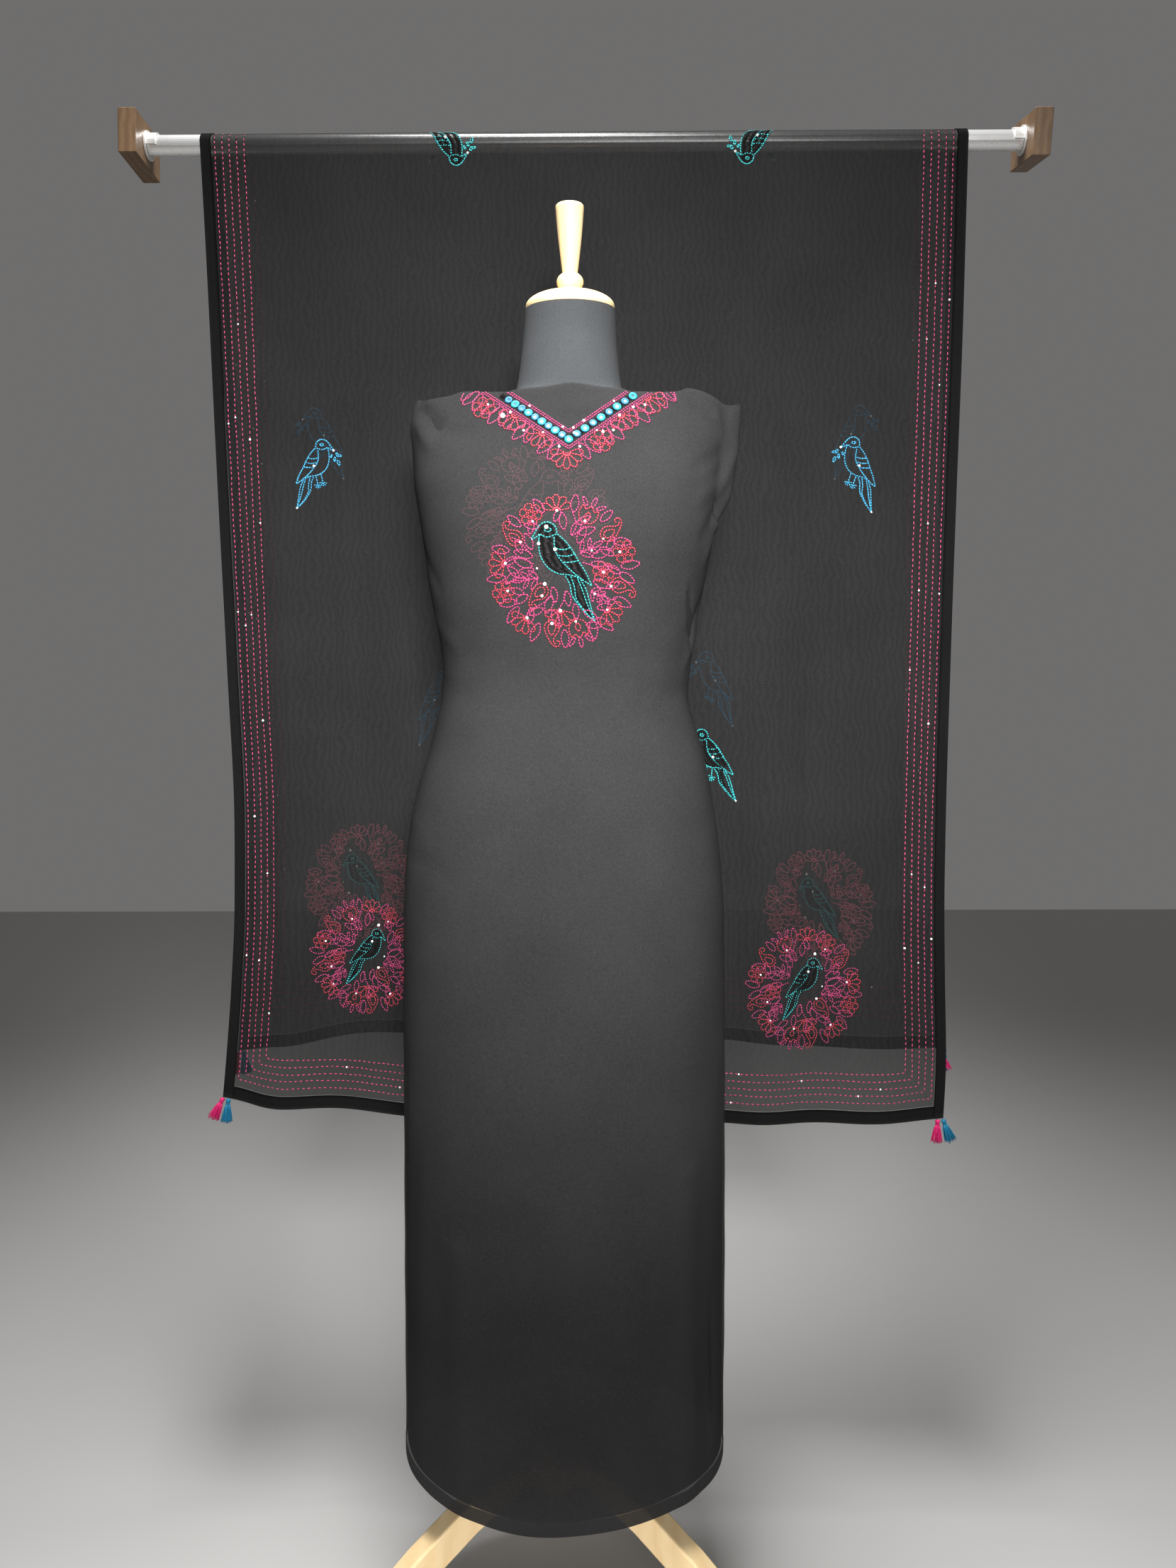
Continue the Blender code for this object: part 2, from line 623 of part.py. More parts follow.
def dupatta_fall(share, height, end):
    """A point of the cloth's inner face on the front or the rear fall."""
    left = read_table(DUPATTA_SIDES, height, 1)
    right = read_table(DUPATTA_SIDES, height, 2)
    if end == "rear":
        left += REAR_LEFT_IN
        right += REAR_RIGHT_OUT * ease((ROD_HEIGHT - height) / REAR_SWING) - REAR_RIGHT_IN
    grow = ease((ROD_HEIGHT - height) / OUT_GROW)
    side = -1.0 if end == "front" else 1.0
    off = ROD_RADIUS + SEAM + WAVE_OUT * grow
    return Vector((left + (right - left) * share, ROD_Y + side * off + dupatta_wave(share, height),
                   height))


def dupatta_turn(share, angle):
    """A point of the inner face over the rod; angle runs from the front (0) to the rear (pi)."""
    left = read_table(DUPATTA_SIDES, ROD_HEIGHT, 1)
    right = read_table(DUPATTA_SIDES, ROD_HEIGHT, 2)
    if angle > math.pi / 2:
        left += REAR_LEFT_IN
        right -= REAR_RIGHT_IN
    radius = ROD_RADIUS + SEAM
    return Vector((left + (right - left) * share, ROD_Y - radius * math.cos(angle),
                   ROD_HEIGHT + radius * math.sin(angle)))


def end_height(share, end):
    return read_table(DUPATTA_ENDS, share, 1 if end == "front" else 2)


def fall_rows(shares, end, with_end=False):
    """Rows of points from the rod down to the top of the end edging, or on to its lower edge."""
    high = ROD_HEIGHT - SEAM / 2
    rows = []
    for step in range(FALL_STEPS + 1):
        row = []
        for share in shares:
            low = end_height(share, end) + END_HIGH + EDGE_SEAM
            row.append(dupatta_fall(share, high + (low - high) * step / FALL_STEPS, end))
        rows.append(row)
    if with_end:
        rows.append([dupatta_fall(share, end_height(share, end), end) for share in shares])
    return rows


def turn_rows(shares):
    """Rows of points over the rod, from the front to the rear."""
    start = SEAM / 2 / ROD_RADIUS
    return [[dupatta_turn(share, start + (math.pi - 2 * start) * step / TURN_STEPS)
             for share in shares] for step in range(TURN_STEPS + 1)]


def make_dupatta():
    """Three stretches of sheer cloth with a black edging along all four sides."""
    edge = EDGE_WIDE / DUPATTA_WIDE
    start = edge + EDGE_SEAM / DUPATTA_WIDE
    inner = [start + (1 - 2 * start) * i / ACROSS_STEPS for i in range(ACROSS_STEPS + 1)]
    for end in ("front", "rear"):
        shares = inner if end == "front" else inner[::-1]
        rows = fall_rows(shares, end)
        cloth_sheet("dupatta_" + end, rows, "sheer georgette", DUPATTA_WALL)
        band = [[dupatta_fall(share, end_height(share, end) + above, end) for share in shares]
                for above in (END_HIGH, 0.0)]
        cloth_sheet("dupatta_end_" + end, band, "edging", EDGE_WALL)
    cloth_sheet("dupatta_over_rod", turn_rows(inner[::7])[::-1], "sheer georgette", DUPATTA_WALL)
    for side, shares in (("left", [0.0, edge]), ("right", [1.0 - edge, 1.0])):
        rows = fall_rows(shares, "rear", True)[::-1] + turn_rows(shares)[::-1]
        rows += fall_rows(shares, "front", True)
        cloth_sheet("dupatta_edge_" + side, rows, "edging", EDGE_WALL)


def make_tassel(name, top, swing, finish_name):
    """A bound head with strands that spread from it; the head is what holds them."""
    shape = bmesh.new()
    count = TASSEL_STRANDS
    head = TASSEL_HEAD
    profile = ((0.35, 0.0), (1.0, -0.55), (0.95, -1.5), (0.72, -1.95), (0.95, -2.5))
    loops = []
    for radius, height in profile:
        loops.append([shape.verts.new((radius * head * math.sin(2 * math.pi * i / count),
                                       radius * head * math.cos(2 * math.pi * i / count),
                                       height * head)) for i in range(count)])
    for upper, lower in zip(loops, loops[1:]):
        for i in range(count):
            shape.faces.new((upper[i], upper[(i + 1) % count], lower[(i + 1) % count], lower[i]))
    shape.faces.new(loops[0][::-1])
    hub = shape.verts.new((0.0, 0.0, profile[-1][1] * head))
    roots = [shape.faces.new((loops[-1][i], loops[-1][(i + 1) % count], hub))
             for i in range(count)]
    bmesh.ops.recalc_face_normals(shape, faces=shape.faces)
    bmesh.ops.inset_individual(shape, faces=roots, thickness=0.00022, use_even_offset=True)
    length = TASSEL_LONG - 2.5 * head
    for share, spread in ((0.45, 1.55), (0.55, 1.50)):
        grown = bmesh.ops.extrude_discrete_faces(shape, faces=roots)["faces"]
        for index, face in enumerate(grown):
            reach = length * share * (1.0 - 0.12 * ((index * 5) % 4) / 3)
            for vert in face.verts:
                vert.co.z -= reach
            centre = face.calc_center_median()
            move = Vector((centre.x * (spread - 1), centre.y * (spread - 1), 0.0))
            for vert in face.verts:
                vert.co += move
        roots = grown
    mesh = mesh_from_bmesh(name, shape)
    tassel = add_object(name, mesh, finish_name, 30.0)
    tassel.location = top
    tassel.rotation_euler = (0.0, math.radians(-swing), 0.0)
    return tassel


def make_tassels():
    for side, end, thread, swing in TASSELS:
        share = TASSEL_IN if side == "left" else 1 - TASSEL_IN
        step = (TASSEL_HEAD + SEAM * 2) / DUPATTA_WIDE
        share += step if thread == "teal" else -step
        height = end_height(share, end)
        corner = dupatta_fall(share, height, end)
        outward = -1.0 if end == "front" else 1.0
        top = (corner.x, corner.y + outward * EDGE_WALL / 2, height - TASSEL_DROP)
        make_tassel("tassel_" + "_".join((end, side, thread)), top, swing, thread + " thread")


def make_rod():
    length = 2 * (BLOCK_OUTER - BLOCK_THICK - SEAM - PLATE_THICK - SEAM)
    bpy.ops.mesh.primitive_cylinder_add(vertices=32, radius=ROD_RADIUS, depth=length)
    mesh = bpy.context.object.data
    bpy.data.objects.remove(bpy.context.object, do_unlink=True)
    rod = add_object("rod", mesh, "steel")
    rod.location = (0.0, ROD_Y, ROD_HEIGHT)
    rod.rotation_euler = (0.0, math.radians(90), 0.0)
    return rod


def make_block(side, sign):
    bpy.ops.mesh.primitive_cube_add(size=1.0)
    mesh = bpy.context.object.data
    bpy.data.objects.remove(bpy.context.object, do_unlink=True)
    mesh.transform(Matrix.Diagonal((BLOCK_THICK, BLOCK_DEEP, BLOCK_HIGH, 1.0)))
    block = add_object("rod_block_" + side, mesh, "oak", 30.0)
    block.location = (sign * (BLOCK_OUTER - BLOCK_THICK / 2), ROD_Y, ROD_HEIGHT)
    block.rotation_euler = (math.radians(BLOCK_TURNS[side]), 0.0, 0.0)
    soften(block, 0.0008, 1)
    return block


def make_socket(side, sign):
    """A round plate on the block with a cup that holds the rod's end from below."""
    inner = ROD_RADIUS + SEAM
    outer = inner + CUP_WALL
    shape = bmesh.new()
    bmesh.ops.create_cone(shape, cap_ends=True, segments=32, radius1=PLATE_RADIUS,
                          radius2=PLATE_RADIUS, depth=PLATE_THICK)
    name = "rod_socket_" + side
    plate = add_object(name, mesh_from_bmesh(name, shape), "zinc", 30.0)

    cup = bpy.data.meshes.new("cup")
    shape = bmesh.new()
    start = math.pi / 2 + CUP_OPEN / 2
    sweep = 2 * math.pi - CUP_OPEN
    low, high = PLATE_THICK * 0.1, PLATE_THICK / 2 + CUP_LONG
    arcs = []
    for radius, height in ((outer, low), (outer, high), (inner, high), (inner, low)):
        arcs.append([shape.verts.new((radius * math.cos(start + sweep * i / 20),
                                      radius * math.sin(start + sweep * i / 20), height))
                     for i in range(21)])
    for first, second in zip(arcs, arcs[1:] + arcs[:1]):
        for i in range(20):
            shape.faces.new((first[i], first[i + 1], second[i + 1], second[i]))
    shape.faces.new([arc[0] for arc in arcs])
    shape.faces.new([arc[-1] for arc in arcs][::-1])
    bmesh.ops.recalc_face_normals(shape, faces=shape.faces)
    shape.to_mesh(cup)
    shape.free()
    tool = bpy.data.objects.new("cup_" + side, cup)
    tool.hide_render = True
    tool.display_type = "WIRE"
    cutters.objects.link(tool)
    join = plate.modifiers.new("cup", "BOOLEAN")
    join.operation = "UNION"
    join.object = tool

    face = BLOCK_OUTER - BLOCK_THICK - SEAM - PLATE_THICK / 2
    turn = Matrix.Rotation(math.radians(-90 * sign), 4, "Y") @ Matrix.Rotation(
        math.radians(90 * sign), 4, "Z")
    place = Matrix.Translation((sign * face, ROD_Y, ROD_HEIGHT)) @ turn
    plate.matrix_world = place
    tool.matrix_world = place
    return plate


clear_scene()
suit = new_collection("salwar_kameez_suit")
cutters = new_collection("cutters")
make_torso()
make_cap_and_finial()
make_pole()
make_hub()
make_legs()
make_kameez_front()
make_kameez_back()
make_dupatta()
make_tassels()
make_rod()
for side_name, side_sign in (("left", -1.0), ("right", 1.0)):
    make_block(side_name, side_sign)
    make_socket(side_name, side_sign)
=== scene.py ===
# Salwar kameez suit: the kameez length on a dress form, the dupatta over a rod behind it
import math
import random

import bpy
import numpy as np
from mathutils import Matrix, Vector
from mathutils.bvhtree import BVHTree


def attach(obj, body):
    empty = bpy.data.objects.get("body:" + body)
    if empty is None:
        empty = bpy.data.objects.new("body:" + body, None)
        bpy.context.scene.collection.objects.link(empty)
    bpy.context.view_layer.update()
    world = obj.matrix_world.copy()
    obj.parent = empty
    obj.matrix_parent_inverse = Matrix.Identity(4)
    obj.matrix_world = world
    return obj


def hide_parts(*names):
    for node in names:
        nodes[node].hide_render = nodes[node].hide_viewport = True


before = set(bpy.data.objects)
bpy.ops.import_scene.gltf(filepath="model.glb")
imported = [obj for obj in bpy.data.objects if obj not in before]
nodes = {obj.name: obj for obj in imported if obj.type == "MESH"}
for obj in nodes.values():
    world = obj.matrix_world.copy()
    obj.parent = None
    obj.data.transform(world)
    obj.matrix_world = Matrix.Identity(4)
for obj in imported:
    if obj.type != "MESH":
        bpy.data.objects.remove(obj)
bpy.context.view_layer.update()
print("frame loaded:", len(nodes), "solids")

# camera at the viewing angle of the picture
photoView = {"place": (0.0128, -1.4469, 0.9975), "tiltDown": 1.634, "turnLeft": 0.3876,
             "roll": -0.1726, "lens": 27.67}


def makeCamera():
    data = bpy.data.cameras.new("photoCamera")
    data.lens = photoView["lens"]
    camera = bpy.data.objects.new("photoCamera", data)
    bpy.context.scene.collection.objects.link(camera)
    turn = Matrix.Rotation(math.radians(photoView["turnLeft"]), 4, "Z")
    tilt = Matrix.Rotation(math.radians(90 - photoView["tiltDown"]), 4, "X")
    roll = Matrix.Rotation(math.radians(photoView["roll"]), 4, "Z")
    camera.matrix_world = Matrix.Translation(photoView["place"]) @ turn @ tilt @ roll
    bpy.context.scene.camera = camera


makeCamera()
print("camera placed")

# helpers used by every piece


def smoothTable(table, at, column):
    # a smooth value between a table's rows that never passes its neighbours
    rows = sorted(table)
    key = np.array([row[0] for row in rows])
    value = np.array([row[column] for row in rows])
    step = np.diff(key)
    slope = np.diff(value) / step
    tangent = np.zeros(len(key))
    product = slope[:-1] * slope[1:]
    total = np.where(product > 0, slope[:-1] + slope[1:], 1.0)
    tangent[1:-1] = np.where(product > 0, 2 * product / total, 0.0)
    tangent[0], tangent[-1] = slope[0], slope[-1]
    at = np.clip(np.asarray(at, float), key[0], key[-1])
    i = np.clip(np.searchsorted(key, at) - 1, 0, len(step) - 1)
    t = (at - key[i]) / step[i]
    rise = value[i] * (2 * t**3 - 3 * t**2 + 1) + value[i + 1] * (3 * t**2 - 2 * t**3)
    bend = tangent[i] * (t**3 - 2 * t**2 + t) + tangent[i + 1] * (t**3 - t**2)
    return rise + bend * step[i]


def ease(value):
    value = np.clip(value, 0.0, 1.0)
    return value * value * (3 - 2 * value)


def addPiece(name, verts, faces, materials, marks=None, smooth=True):
    mesh = bpy.data.meshes.new(name)
    mesh.from_pydata([tuple(v) for v in verts], [], faces)
    for material in materials:
        mesh.materials.append(material)
    if marks is not None:
        mesh.polygons.foreach_set("material_index", marks)
    if smooth:
        mesh.shade_smooth()
    mesh.update()
    piece = bpy.data.objects.new(name, mesh)
    bpy.context.scene.collection.objects.link(piece)
    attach(piece, "root")
    return piece


def gridFaces(rows, columns, closed=False, flip=False):
    faces = []
    wide = columns if closed else columns - 1
    for r in range(rows - 1):
        for c in range(wide):
            d = (c + 1) % columns
            face = (r * columns + c, (r + 1) * columns + c, (r + 1) * columns + d,
                    r * columns + d)
            faces.append(face[::-1] if flip else face)
    return faces


def creaseHeights(across, along, creases):
    # soft troughs and ridges along straight runs: each crease gives its two ends, its half
    # width and its height, in metres, and fades at both ends
    total = np.zeros(np.shape(across))
    for x0, y0, x1, y1, half, height in creases:
        run = np.array((x1 - x0, y1 - y0))
        length = float(np.hypot(*run))
        run = run / length
        reach = (across - x0) * run[0] + (along - y0) * run[1]
        off = np.abs((across - x0) * -run[1] + (along - y0) * run[0])
        ends = ease(np.minimum(reach, length - reach) / (0.30 * length) + 0.15)
        total = total + height * ends * np.exp(-(off / half) ** 2 * 1.6)
    return total


# shader node groups


def newGroup(name, inputs, outputs):
    group = bpy.data.node_groups.new(name, "ShaderNodeTree")
    for label, kind, value in inputs:
        socket = group.interface.new_socket(name=label, in_out="INPUT", socket_type=kind)
        socket.default_value = value
    for label, kind in outputs:
        group.interface.new_socket(name=label, in_out="OUTPUT", socket_type=kind)
    start = group.nodes.new("NodeGroupInput")
    end = group.nodes.new("NodeGroupOutput")
    return group, start, end


floatKind = "NodeSocketFloat"
colorKind = "NodeSocketColor"


def mathNode(tree, operation, first, second, clamp=False):
    node = tree.nodes.new("ShaderNodeMath")
    node.operation = operation
    node.use_clamp = clamp
    for index, value in enumerate((first, second)):
        if hasattr(value, "links"):
            tree.links.new(value, node.inputs[index])
        else:
            node.inputs[index].default_value = value
    return node.outputs[0]


def noiseNode(tree, scale, detail=2.0, stretch=None, roughness=0.5):
    place = tree.nodes.new("ShaderNodeTexCoord").outputs["Object"]
    if stretch is not None:
        mapping = tree.nodes.new("ShaderNodeMapping")
        mapping.inputs["Scale"].default_value = stretch
        tree.links.new(place, mapping.inputs["Vector"])
        place = mapping.outputs["Vector"]
    node = tree.nodes.new("ShaderNodeTexNoise")
    node.inputs["Detail"].default_value = detail
    node.inputs["Roughness"].default_value = roughness
    tree.links.new(place, node.inputs["Vector"])
    if hasattr(scale, "links"):
        tree.links.new(scale, node.inputs["Scale"])
    else:
        node.inputs["Scale"].default_value = scale
    return node.outputs["Fac"]


def waveNode(tree, scale, axis, distortion=1.0, detail=1.0):
    place = tree.nodes.new("ShaderNodeTexCoord").outputs["Object"]
    node = tree.nodes.new("ShaderNodeTexWave")
    node.wave_type = "BANDS"
    node.bands_direction = axis
    node.inputs["Distortion"].default_value = distortion
    node.inputs["Detail"].default_value = detail
    tree.links.new(place, node.inputs["Vector"])
    if hasattr(scale, "links"):
        tree.links.new(scale, node.inputs["Scale"])
    else:
        node.inputs["Scale"].default_value = scale
    return node.outputs["Fac"]


def mixColor(tree, factor, first, second):
    node = tree.nodes.new("ShaderNodeMix")
    node.data_type = "RGBA"
    for socket, value in ((node.inputs[0], factor), (node.inputs[6], first),
                          (node.inputs[7], second)):
        if hasattr(value, "links"):
            tree.links.new(value, socket)
        else:
            socket.default_value = value
    return node.outputs[2]


def makeCrinkleGroup():
    # georgette: twisted yarns in both directions, with a fine uneven crinkle
    tree, start, end = newGroup(
        "georgetteCrinkle",
        (("Deep Colour", colorKind, (0.02, 0.02, 0.02, 1)),
         ("Lit Colour", colorKind, (0.05, 0.05, 0.05, 1)),
         ("Yarn Scale", floatKind, 430.0), ("Crinkle Scale", floatKind, 560.0),
         ("Cover", floatKind, 0.8), ("Cover Change", floatKind, 0.15), ("Fold Shade Streaks", floatKind, 0.0)),
        (("Colour", colorKind), ("Height", floatKind), ("Cover", floatKind)))
    warp = waveNode(tree, start.outputs["Yarn Scale"], "X", 1.4)
    weft = waveNode(tree, start.outputs["Yarn Scale"], "Z", 1.8)
    yarn = mathNode(tree, "MULTIPLY", warp, weft)
    crinkle = noiseNode(tree, start.outputs["Crinkle Scale"], 3.0)
    broad = noiseNode(tree, 9.0, 2.0)
    both = mathNode(tree, "ADD", mathNode(tree, "MULTIPLY", yarn, 0.30),
                    mathNode(tree, "MULTIPLY", crinkle, 0.90))
    tone = mathNode(tree, "ADD", mathNode(tree, "MULTIPLY", both, 0.7),
                    mathNode(tree, "MULTIPLY", broad, 0.35), True)
    # vertical streaks, lighter and darker across the cloth: painted light and shade, for the soft
    # hanging folds and the moiré of the two layers
    shadeStreaks = mathNode(tree, "SUBTRACT", waveNode(tree, 38.0, "X", 10.0, 3.0), 0.5)
    streakShade = mathNode(tree, "MULTIPLY", shadeStreaks, start.outputs["Fold Shade Streaks"])
    tone = mathNode(tree, "ADD", tone, streakShade, True)
    colour = mixColor(tree, tone, start.outputs["Deep Colour"], start.outputs["Lit Colour"])
    spread = mathNode(tree, "MULTIPLY", mathNode(tree, "SUBTRACT", both, 0.5),
                      start.outputs["Cover Change"])
    cover = mathNode(tree, "ADD", start.outputs["Cover"], spread, True)
    tree.links.new(colour, end.inputs["Colour"])
    tree.links.new(both, end.inputs["Height"])
    tree.links.new(cover, end.inputs["Cover"])
    return tree


def makeWoodGroup():
    # long fibres along Z, broad growth bands and small darker flecks
    tree, start, end = newGroup(
        "woodGrain",
        (("Light Wood", colorKind, (0.8, 0.6, 0.35, 1)),
         ("Dark Wood", colorKind, (0.6, 0.4, 0.2, 1)), ("Band Scale", floatKind, 14.0)),
        (("Colour", colorKind), ("Height", floatKind), ("Gloss Loss", floatKind)))
    bands = waveNode(tree, start.outputs["Band Scale"], "X", 6.0, 3.0)
    fibres = noiseNode(tree, 220.0, 3.0, (1.0, 1.0, 0.06))
    fleck = noiseNode(tree, 60.0, 4.0, (1.0, 1.0, 0.15), 0.7)
    tone = mathNode(tree, "ADD", mathNode(tree, "MULTIPLY", bands, 0.35),
                    mathNode(tree, "MULTIPLY", fibres, 0.55))
    tone = mathNode(tree, "MULTIPLY", tone, mathNode(tree, "ADD", fleck, 0.45), True)
    colour = mixColor(tree, tone, start.outputs["Light Wood"], start.outputs["Dark Wood"])
    gloss = mathNode(tree, "ADD", mathNode(tree, "MULTIPLY", fleck, 0.22), 0.30)
    tree.links.new(colour, end.inputs["Colour"])
    tree.links.new(fibres, end.inputs["Height"])
    tree.links.new(gloss, end.inputs["Gloss Loss"])
    return tree


def makeThreadGroup():
    # twisted thread: darker between the plies, lighter where it catches the light
    tree, start, end = newGroup(
        "twistedThread",
        (("Thread Colour", colorKind, (0.6, 0.1, 0.2, 1)),
         ("Shade Colour", colorKind, (0.2, 0.02, 0.05, 1)), ("Twist Scale", floatKind, 900.0)),
        (("Colour", colorKind), ("Height", floatKind)))
    twist = noiseNode(tree, start.outputs["Twist Scale"], 1.0, (1.0, 1.0, 0.5))
    dye = noiseNode(tree, 35.0, 2.0)
    tone = mathNode(tree, "ADD", mathNode(tree, "MULTIPLY", twist, 0.8),
                    mathNode(tree, "MULTIPLY", dye, 0.5), True)
    colour = mixColor(tree, tone, start.outputs["Shade Colour"], start.outputs["Thread Colour"])
    tree.links.new(colour, end.inputs["Colour"])
    tree.links.new(twist, end.inputs["Height"])
    return tree


def makeMelangeGroup():
    # knitted jersey of mixed light and dark fibres
    tree, start, end = newGroup(
        "melangeJersey",
        (("Dark Fibre", colorKind, (0.05, 0.05, 0.06, 1)),
         ("Light Fibre", colorKind, (0.2, 0.2, 0.22, 1)), ("Knit Scale", floatKind, 330.0)),
        (("Colour", colorKind), ("Height", floatKind)))
    speck = noiseNode(tree, 750.0, 2.0, None, 0.7)
    cloud = noiseNode(tree, 18.0, 3.0)
    rib = waveNode(tree, start.outputs["Knit Scale"], "X", 2.0)
    tone = mathNode(tree, "ADD", mathNode(tree, "MULTIPLY", speck, 0.8),
                    mathNode(tree, "MULTIPLY", cloud, 0.3))
    tone = mathNode(tree, "SUBTRACT", tone, 0.08, True)
    colour = mixColor(tree, tone, start.outputs["Dark Fibre"], start.outputs["Light Fibre"])
    height = mathNode(tree, "ADD", mathNode(tree, "MULTIPLY", rib, 0.5), speck)
    tree.links.new(colour, end.inputs["Colour"])
    tree.links.new(height, end.inputs["Height"])
    return tree


def makeHandlingGroup():
    # fingerprints, dust and fine scratches on metal and glass
    tree, start, end = newGroup(
        "handlingMarks",
        (("Clean", floatKind, 0.15), ("Smudge", floatKind, 0.25),
         ("Metal Colour", colorKind, (0.6, 0.6, 0.6, 1)),
         ("Dull Colour", colorKind, (0.4, 0.4, 0.4, 1))),
        (("Roughness", floatKind), ("Colour", colorKind), ("Height", floatKind)))
    smudge = noiseNode(tree, 28.0, 4.0, None, 0.65)
    scratch = noiseNode(tree, 240.0, 2.0, (0.08, 1.0, 1.0))
    rough = mathNode(tree, "ADD", start.outputs["Clean"],
                     mathNode(tree, "MULTIPLY", smudge, start.outputs["Smudge"]), True)
    colour = mixColor(tree, mathNode(tree, "MULTIPLY", smudge, 0.6, True),
                      start.outputs["Metal Colour"], start.outputs["Dull Colour"])
    tree.links.new(rough, end.inputs["Roughness"])
    tree.links.new(colour, end.inputs["Colour"])
    tree.links.new(scratch, end.inputs["Height"])
    return tree


shaderGroups = {"crinkle": makeCrinkleGroup(), "wood": makeWoodGroup(),
                "thread": makeThreadGroup(), "melange": makeMelangeGroup(),
                "handling": makeHandlingGroup()}


def newMaterial(name, group, values, sockets, bump):
    # one Principled surface fed by one group; bump gives strength and distance
    material = bpy.data.materials.new(name)
    material.use_nodes = True
    tree = material.node_tree
    shader = tree.nodes["Principled BSDF"]
    effect = tree.nodes.new("ShaderNodeGroup")
    effect.node_tree = shaderGroups[group]
    for label, value in values.items():
        effect.inputs[label].default_value = value
    for label, value in sockets.items():
        shader.inputs[label].default_value = value
    tree.links.new(effect.outputs["Colour"], shader.inputs["Base Color"])
    if "Cover" in effect.outputs:
        tree.links.new(effect.outputs["Cover"], shader.inputs["Alpha"])
    if "Gloss Loss" in effect.outputs:
        tree.links.new(effect.outputs["Gloss Loss"], shader.inputs["Roughness"])
    if "Roughness" in effect.outputs:
        tree.links.new(effect.outputs["Roughness"], shader.inputs["Roughness"])
    relief = tree.nodes.new("ShaderNodeBump")
    relief.inputs["Strength"].default_value = bump[0]
    relief.inputs["Distance"].default_value = bump[1]
    tree.links.new(effect.outputs["Height"], relief.inputs["Height"])
    tree.links.new(relief.outputs["Normal"], shader.inputs["Normal"])
    return material


def georgette(name, deep, lit, cover, change=0.14, streakShade=0.0):
    return newMaterial(name, "crinkle",
                       {"Deep Colour": (*deep, 1), "Lit Colour": (*lit, 1), "Cover": cover,
                        "Cover Change": change, "Fold Shade Streaks": streakShade},
                       {"Roughness": 0.88, "Specular IOR Level": 0.03}, (0.35, 0.0006))


def thread(name, colour, shade, roughness=0.42):
    return newMaterial(name, "thread",
                       {"Thread Colour": (*colour, 1), "Shade Colour": (*shade, 1)},
                       {"Roughness": roughness, "Specular IOR Level": 0.22}, (0.5, 0.0004))


